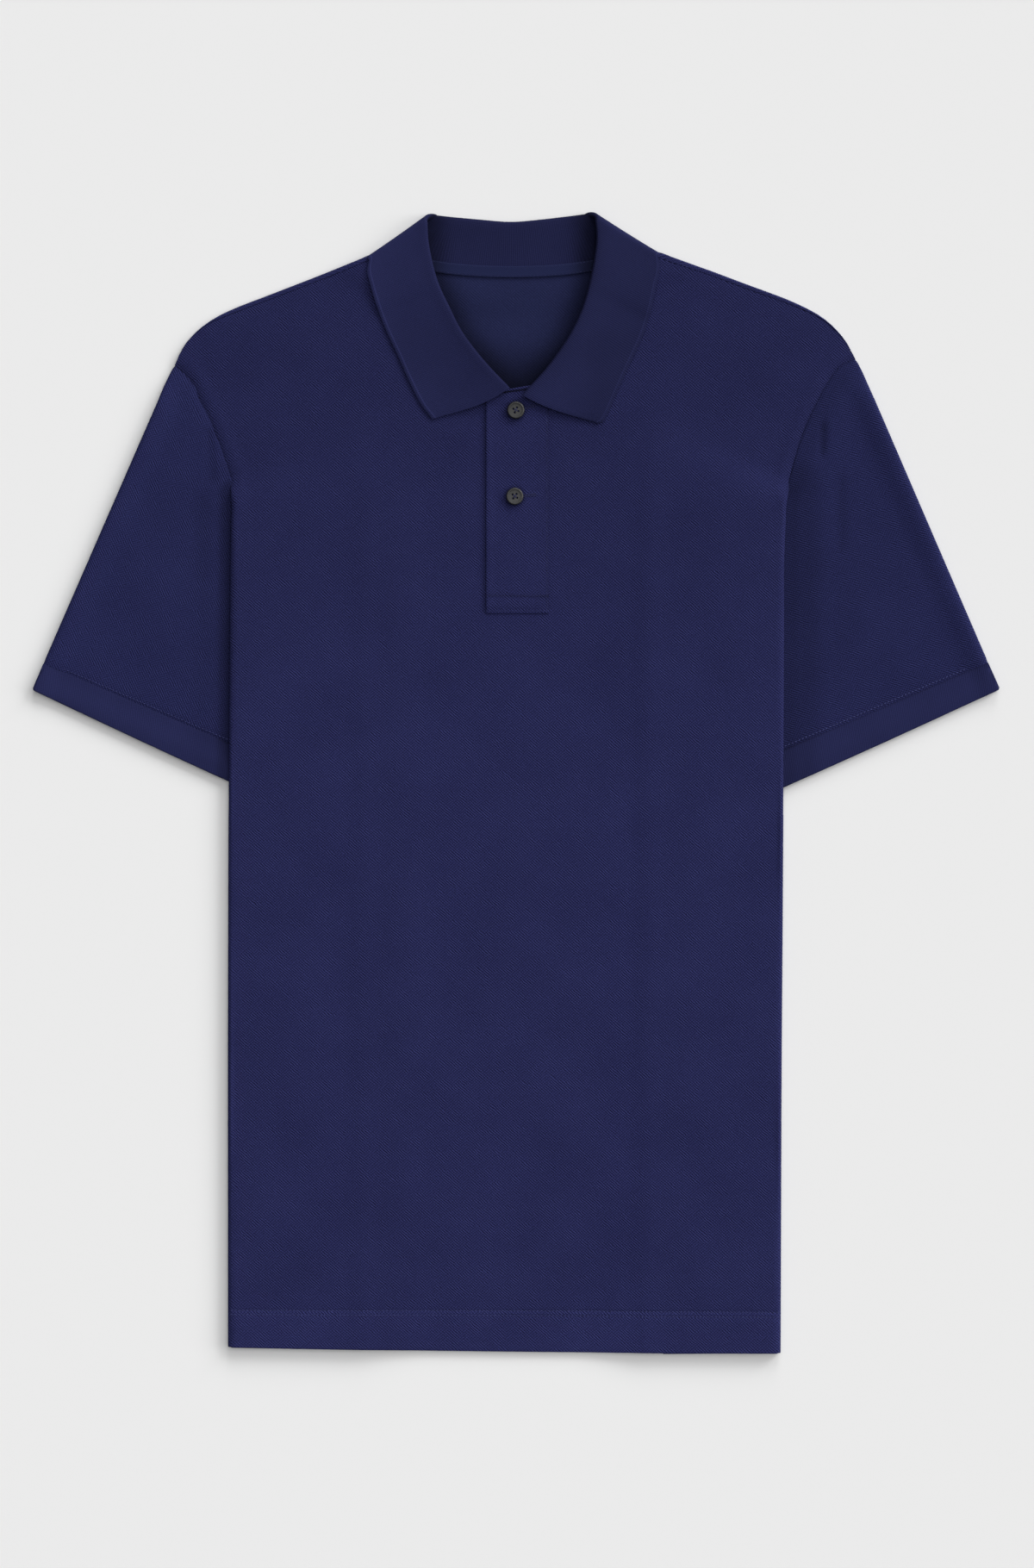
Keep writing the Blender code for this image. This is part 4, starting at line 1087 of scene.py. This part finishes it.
def pique_finish(name="pique_navy", crisp=1.0, tint=(1.0, 1.0, 1.0)):
    """Pique knit: small cells on a diamond lattice, the falling diagonal stronger than the rising one. The
    lattice wanders a little and is crisper in some patches than in others."""
    made, shader, place = new_finish(name, 0.9)
    soft = place.noise(0.3) - 0.5
    drift = place.noise(0.02) - 0.5
    patch = place.noise(0.13)
    u = place.part(0) + soft * 1.1
    v = place.part(1) + (place.noise(0.26, 1.0) - 0.5)
    turns = 2 * math.pi / PIQUE_CELL
    falling = (u * turns[0] + v * turns[1]).cos()
    rising = (u * turns[0] - v * turns[1]).cos()
    fuzz = place.noise(1.15, 2.0, 0.7) - 0.5
    cell = falling * (patch.within(0.32, 0.68) * 0.34 + 0.07)
    cell = cell + rising * (patch.within(0.7, 0.35) * 0.15 + 0.04)
    cell = cell * crisp + fuzz * (0.8 * (0.4 + 0.6 * crisp)) + 0.5
    tone = cell + drift * 0.2 + soft * 0.12
    colour = tone.colours(*((at, np.multiply(shade, tint)) for at, shade in PIQUE_TONES))
    finish_surface(shader, colour, cell, 0.2)
    return made


def rib_finish(name, selvedge, dark, light):
    """Flat rib knit, with a lighter row beside the free edge where there is a selvedge."""
    made, shader, place = new_finish(name, 0.9)
    u = place.part(0) + (place.noise(0.3, 1.0) - 0.5) * 0.5
    rib = u.wave(1.25) * 0.5 + 0.5
    course = place.part(1).wave(0.9) * 0.5 + 0.5
    fuzz = place.noise(1.4, 2.0, 0.6)
    height = rib * 0.55 + course * 0.2 + (fuzz - 0.5) * 0.5
    tone = rib * 0.25 + course * 0.12 + (fuzz - 0.5) * 0.4 + (place.noise(0.03) - 0.5) * 0.3 + 0.3
    if selvedge:
        edge = place.part(1) - 2.1
        line = (edge * edge).within(0.55, 0.0)
        tone = tone + line * 0.35
        height = height + line * 0.6
    finish_surface(shader, tone.colours((0.0, dark), (1.0, light)), height, 0.16)
    return made


def tape_finish():
    """Twill whose lines meet in the middle of the tape."""
    made, shader, place = new_finish("tape_navy", 0.85, specular=0.08)
    u, v = place.part(0), place.part(1)
    twill = (u + v.maths("ABSOLUTE")).wave(1.3) * 0.5 + 0.5
    fuzz = place.noise(1.6)
    tone = twill * 0.4 + (fuzz - 0.5) * 0.4 + 0.3
    finish_surface(shader, tone.colours((0.0, (23, 27, 56)), (1.0, (37, 43, 81))), tone, 0.15)
    return made


def thread_finish(name, dark, light):
    made, shader, place = new_finish(name, 0.6, 0.1, 0.2, on_cut=False)
    twist = place.noise(2600.0, 1.0)
    finish_surface(shader, twist.colours((0.2, dark), (0.8, light)), twist, 0.05)
    return made


def horn_finish():
    """Dark grey-olive horn, clouded, with a polished rim."""
    made, shader, place = new_finish("horn_dark", 0.38, 0.0, 0.42)
    cloud = place.noise(0.35, 3.0, 0.6)
    streak = place.scaled(0.25, 1.4).noise(0.8, 2.0, 0.6)
    tone = cloud * 0.6 + streak * 0.4
    colour = tone.colours((0.3, (29, 30, 32)), (0.55, (45, 45, 45)), (0.75, (66, 65, 62)))
    finish_surface(shader, colour, streak, 0.03)
    gloss = cloud.within(0.2, 0.8) * 0.2 + 0.3
    gloss.tree.links.new(gloss.socket, shader.inputs["Roughness"])
    return made


FINISH = {
    "pique": pique_finish(),
    "inside": pique_finish("pique_inside", 0.3, (1.02, 1.08, 1.0)),
    "even": pique_finish("pique_even", 0.88, (0.965, 0.98, 0.985)),
    "rib": rib_finish("rib_navy", False, (26, 28, 60), (44, 47, 89)),
    "collar": rib_finish("collar_navy", True, (24, 26, 56), (43, 46, 87)),
    "tape": tape_finish(),
    "thread": thread_finish("thread_navy", (40, 43, 84), (62, 66, 116)),
    # darker and lighter copies of the navy thread: painted shade for the small raised stitches of the
    # placket, neck tape and buttons, and painted light for the right cuff's row
    "dim": thread_finish("thread_painted_shade", (31, 34, 70), (44, 47, 88)),
    "pale": thread_finish("thread_painted_light", (50, 54, 98), (76, 80, 132)),
    "horn": horn_finish(),
}


# ---- stitches ----


def stitch_tree():
    """Stitches along the edges of a mesh: capsules at an even pitch, turned to the run of the seam. Also the
    names of the tree's inputs."""
    tree = bpy.data.node_groups.new("stitches", "GeometryNodeTree")
    kinds = {"Seam": "Geometry"} | dict.fromkeys(STITCH, "Float") | {"Seed": "Int", "Thread": "Material"}
    socket = tree.interface.new_socket
    names = {name: socket(name, in_out="INPUT", socket_type=f"NodeSocket{kind}").identifier
             for name, kind in kinds.items()}
    socket("Stitches", in_out="OUTPUT", socket_type="NodeSocketGeometry")

    def node(kind, inputs=None, **settings):
        return add_node(tree, kind, inputs, **settings).outputs

    given = node("NodeGroupInput")
    curve = node("GeometryNodeMeshToCurve", {"Mesh": given["Seam"]})
    even = node("GeometryNodeResampleCurve", {"Curve": curve[0], "Length": given["Pitch"]}, mode="LENGTH")
    ball = node("GeometryNodeMeshUVSphere", {"Segments": 6, "Rings": 4, "Radius": 0.5})
    size = node("ShaderNodeCombineXYZ", {0: given["Length"], 1: given["Width"], 2: given["Height"]})
    across = node("ShaderNodeCombineXYZ", {2: given["Turn"]})
    stitch = node("GeometryNodeTransform",
                  {"Geometry": ball["Mesh"], "Scale": size[0], "Rotation": across[0]})
    tangent = node("GeometryNodeInputTangent")
    way = node("FunctionNodeAlignRotationToVector", {"Vector": tangent[0]}, axis="X", pivot_axis="Z")
    low = node("ShaderNodeMath", {0: given["Play"], 1: -1.0}, operation="MULTIPLY")
    lean = add_node(tree, "FunctionNodeRandomValue", {"Seed": given["Seed"]}, data_type="FLOAT")
    least, most = (s for s in lean.inputs if s.name in ("Min", "Max") and s.type == "VALUE")
    tree.links.new(low[0], least)
    tree.links.new(given["Play"], most)
    leaning = node("ShaderNodeCombineXYZ", {2: next(s for s in lean.outputs if s.type == "VALUE")})
    turned = node("FunctionNodeRotateRotation", {"Rotation": way[0], "Rotate By": leaning[0]},
                  rotation_space="LOCAL")
    sewn = node("GeometryNodeInstanceOnPoints",
                {"Points": even[0], "Instance": stitch[0], "Rotation": turned[0]})
    real = node("GeometryNodeRealizeInstances", {0: sewn[0]})
    dressed = node("GeometryNodeSetMaterial", {"Geometry": real[0], "Material": given["Thread"]})
    add_node(tree, "NodeGroupOutput", {0: dressed[0]})
    return tree, names


STITCHES, STITCH_INPUTS = stitch_tree()


def sew(name, seams, thread="thread", **sizes):
    """One mesh of stitches along these seams, each a run of points in millimetres. sizes are those in STITCH
    that differ."""
    points, edges = [], []
    for seam in seams:
        edges += [(len(points) + k, len(points) + k + 1) for k in range(len(seam) - 1)]
        points += (np.asarray(seam) * MM).tolist()
    mesh = bpy.data.meshes.new(name)
    mesh.from_pydata(points, edges, [])
    made = linked(bpy.data.objects.new(name, mesh))
    row = made.modifiers.new("stitches", "NODES")
    row.node_group = STITCHES
    for key, value in (STITCH | sizes).items():
        row[STITCH_INPUTS[key]] = value if key in ("Turn", "Play") else value * MM
    row[STITCH_INPUTS["Seed"]] = 7
    row[STITCH_INPUTS["Thread"]] = FINISH[thread]
    plain_mesh(made)
    made.data.shade_smooth()
    return made


def on_front(x, y):
    """Points on the front panel's face."""
    return np.column_stack([x, y, front_z(x, y) + front_relief(x, y) + WALL / 2 + 0.08])


def straight(start, end, step=1.0):
    way = np.subtract(end, start)
    return start + np.linspace(0, 1, max(2, int(np.linalg.norm(way) / step) + 1))[:, None] * way


def hem_stitches():
    x = np.linspace(-191.5, 175.8, 370)
    return sew("hem_stitches", [on_front(x, hem_row_y(row, x)) for row in (0, 1)], Length=2.0, Width=0.5)


def cuff_stitches(side):
    """A row on the sleeve just above the cuff seam."""
    outer, inner = cuff_line(side)
    up, inwards = unit(SLEEVE[side]["outer"][0] - outer) * 2.0, unit(inner - outer) * 2
    line = straight(outer + up + inwards, inner + up - inwards)
    z = TUBE_Z + TUBE_RADIUS + WALL / 2 + sleeve_relief(side, *line.T) + 0.08
    return sew(f"cuff_{side}_stitches", [np.column_stack([line, z])], CUFF_THREAD[side],
               Pitch=2.5, Length=1.7, Width=0.5)


def placket_stitches():
    """A row across the placket, and one along its foot and its sewn side."""
    left, right, foot = PLACKET["left"] + 0.6, PLACKET["right"] - 1.4, PLACKET["bottom"] + 1.6
    lines = (straight((left, PLACKET_ROW_Y), (right, PLACKET_ROW_Y)), straight((left, foot), (right, foot)),
             straight((right, foot), (right, 250.0)))
    seams = [np.column_stack([line, UPPER_FACE_Z + placket_relief(*line.T) + 0.06]) for line in lines]
    return sew("placket_stitches", seams, "dim", Pitch=2.3, Length=1.8, Width=0.32, Height=0.2)


def neck_stitches():
    """Rows along both edges of the neck tape."""
    x = np.linspace(-58, 53, 112)
    y = back_neck_y(x)
    z = back_z(x, y) + WALL / 2 + GAP + TAPE_WALL
    seams = [np.column_stack([x, y + aside, z + rise]) for aside, rise in ((-3.0, 0.06), (3.0, 0.38))]
    return sew("neck_stitches", seams, "dim", Pitch=2.4, Length=1.5, Width=0.26, Height=0.16)


def buttonhole(name, x, y, turn, length):
    """Close bars across two lips beside a slit."""
    way = np.array((math.cos(math.radians(turn)), math.sin(math.radians(turn))))
    seams = []
    for lip in (-0.62, 0.62):
        start = np.array((x, y)) + lip * np.array((-way[1], way[0]))
        line = straight(start, start + way * length, 0.5)
        seams.append(np.column_stack([line, np.full(len(line), UPPER_FACE_Z + 0.08)]))
    return sew(f"buttonhole_{name}", seams, "dim", Pitch=0.36, Length=1.0, Width=0.34, Height=0.34,
               Turn=math.pi / 2, Play=0.1)


def button_thread(name, x, y, turn):
    """Two crossed pairs of strands through the four holes."""
    places = np.array(hole_places(x, y, turn))
    t = np.linspace(0, 1, 13)
    seams = []
    for a, b, rise in ((0, 2, 0.2), (1, 3, 0.32)):
        span = places[b] - places[a]
        for aside in (-0.14, 0.14):
            line = places[a] + t[:, None] * span + aside * unit((-span[1], span[0]))
            z = BUTTON_Z + BUTTON_PROFILE[-1][1] + rise - 1.2 * (2 * t - 1) ** 8
            seams.append(np.column_stack([line, z]))
    return sew(f"button_{name}_thread", seams, "dim", Pitch=0.3, Length=0.42, Width=0.26, Height=0.14)


# ---- the shirt ----


def dress(piece, node=None):
    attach(piece, "root")
    if node:
        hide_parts(node)
    return piece


def sew_up():
    """Makes every piece, hangs it on the root and hides the part it stands for."""
    back_piece = dress(back(), "back")
    front_piece = dress(front(), "front")
    hem = dress(hem_stitches())
    sleeves, cuffs, cuff_rows = {}, {}, {}
    for side in OUT:
        sleeves[side] = dress(sleeve(side), f"sleeve_{side}")
        cuffs[side] = dress(cuff(side), f"cuff_{side}")
        cuff_rows[side] = dress(cuff_stitches(side))
    collar_piece = dress(collar(), "collar")
    tape = dress(neck_tape(), "neck_tape")
    tape_rows = dress(neck_stitches())
    under = dress(band("placket_under_band", SLIT_LEFT + GAP, SLIT_RIGHT - GAP, SLIT_BOTTOM + GAP, 0.6,
                       BACK_Z + LAYER, TAB_TOP["under"], level), "placket_under")
    upper = dress(band("placket_upper_band", PLACKET["left"], PLACKET["right"], PLACKET["bottom"], 0.4,
                       BACK_Z + 2 * LAYER, TAB_TOP["upper"], placket_relief), "placket_upper")
    rows = dress(placket_stitches())
    holes = [dress(buttonhole(*hole)) for hole in BUTTONHOLES]
    for name, x, y, turn in BUTTONS:
        dress(button(name, x, y, turn), f"button_{name}")
        dress(button_thread(name, x, y, turn))


def studio():
    """A pale floor, a sky that is brightest overhead and a wide low light from the upper right."""
    bpy.ops.mesh.primitive_plane_add(size=8.0, location=(0, 0, -0.0002))
    floor = bpy.context.object
    floor.name = "floor"
    pale = bpy.data.materials.new("floor_pale")
    pale.use_nodes = True
    shader = pale.node_tree.nodes["Principled BSDF"]
    shader.inputs["Base Color"].default_value = (*[FLOOR_TONE] * 3, 1)
    shader.inputs["Roughness"].default_value = 0.9
    shader.inputs["Specular IOR Level"].default_value = 0.0
    floor.data.materials.append(pale)
    world = bpy.data.worlds.new("studio")
    world.use_nodes = True
    tree = world.node_tree
    way = Value(tree, add_node(tree, "ShaderNodeTexCoord").outputs["Generated"])
    high, bearing = math.radians(SKY_HEIGHT), math.radians(SKY_BEARING)
    middle = (math.cos(high) * math.cos(bearing), math.cos(high) * math.sin(bearing), math.sin(high))
    facing = way.node("ShaderNodeVectorMath", {0: way, 1: middle}, output=1, operation="DOT_PRODUCT")
    sky = facing.maths("MAXIMUM", 0.0).maths("POWER", SKY_NARROWNESS) * SKY + AMBIENT
    tree.links.new(sky.socket, tree.nodes["Background"].inputs["Strength"])
    tree.nodes["Background"].inputs["Color"].default_value = (1, 1, 1, 1)
    bpy.context.scene.world = world
    for number, (bearing, power) in enumerate(KEYS):
        lamp = bpy.data.lights.new(f"key_{number}", "SUN")
        lamp.energy, lamp.angle = power, math.radians(KEY_SPREAD)
        key = linked(bpy.data.objects.new(f"key_{number}", lamp))
        key.rotation_euler = (0, math.radians(90 - KEY_HEIGHT), math.radians(bearing))


def camera():
    """Straight above, framed as 696 by 1055.6 mm at the cloth."""
    lens = bpy.data.cameras.new("camera")
    lens.lens, lens.sensor_width, lens.clip_end = FOCAL_LENGTH, SENSOR, 20
    made = linked(bpy.data.objects.new("camera", lens))
    made.location = (0.00058, -0.00058, 1.0556 * FOCAL_LENGTH / SENSOR + 0.004)
    bpy.context.scene.camera = made


bpy.context.scene.view_settings.view_transform = "Standard"
sew_up()
studio()
camera()
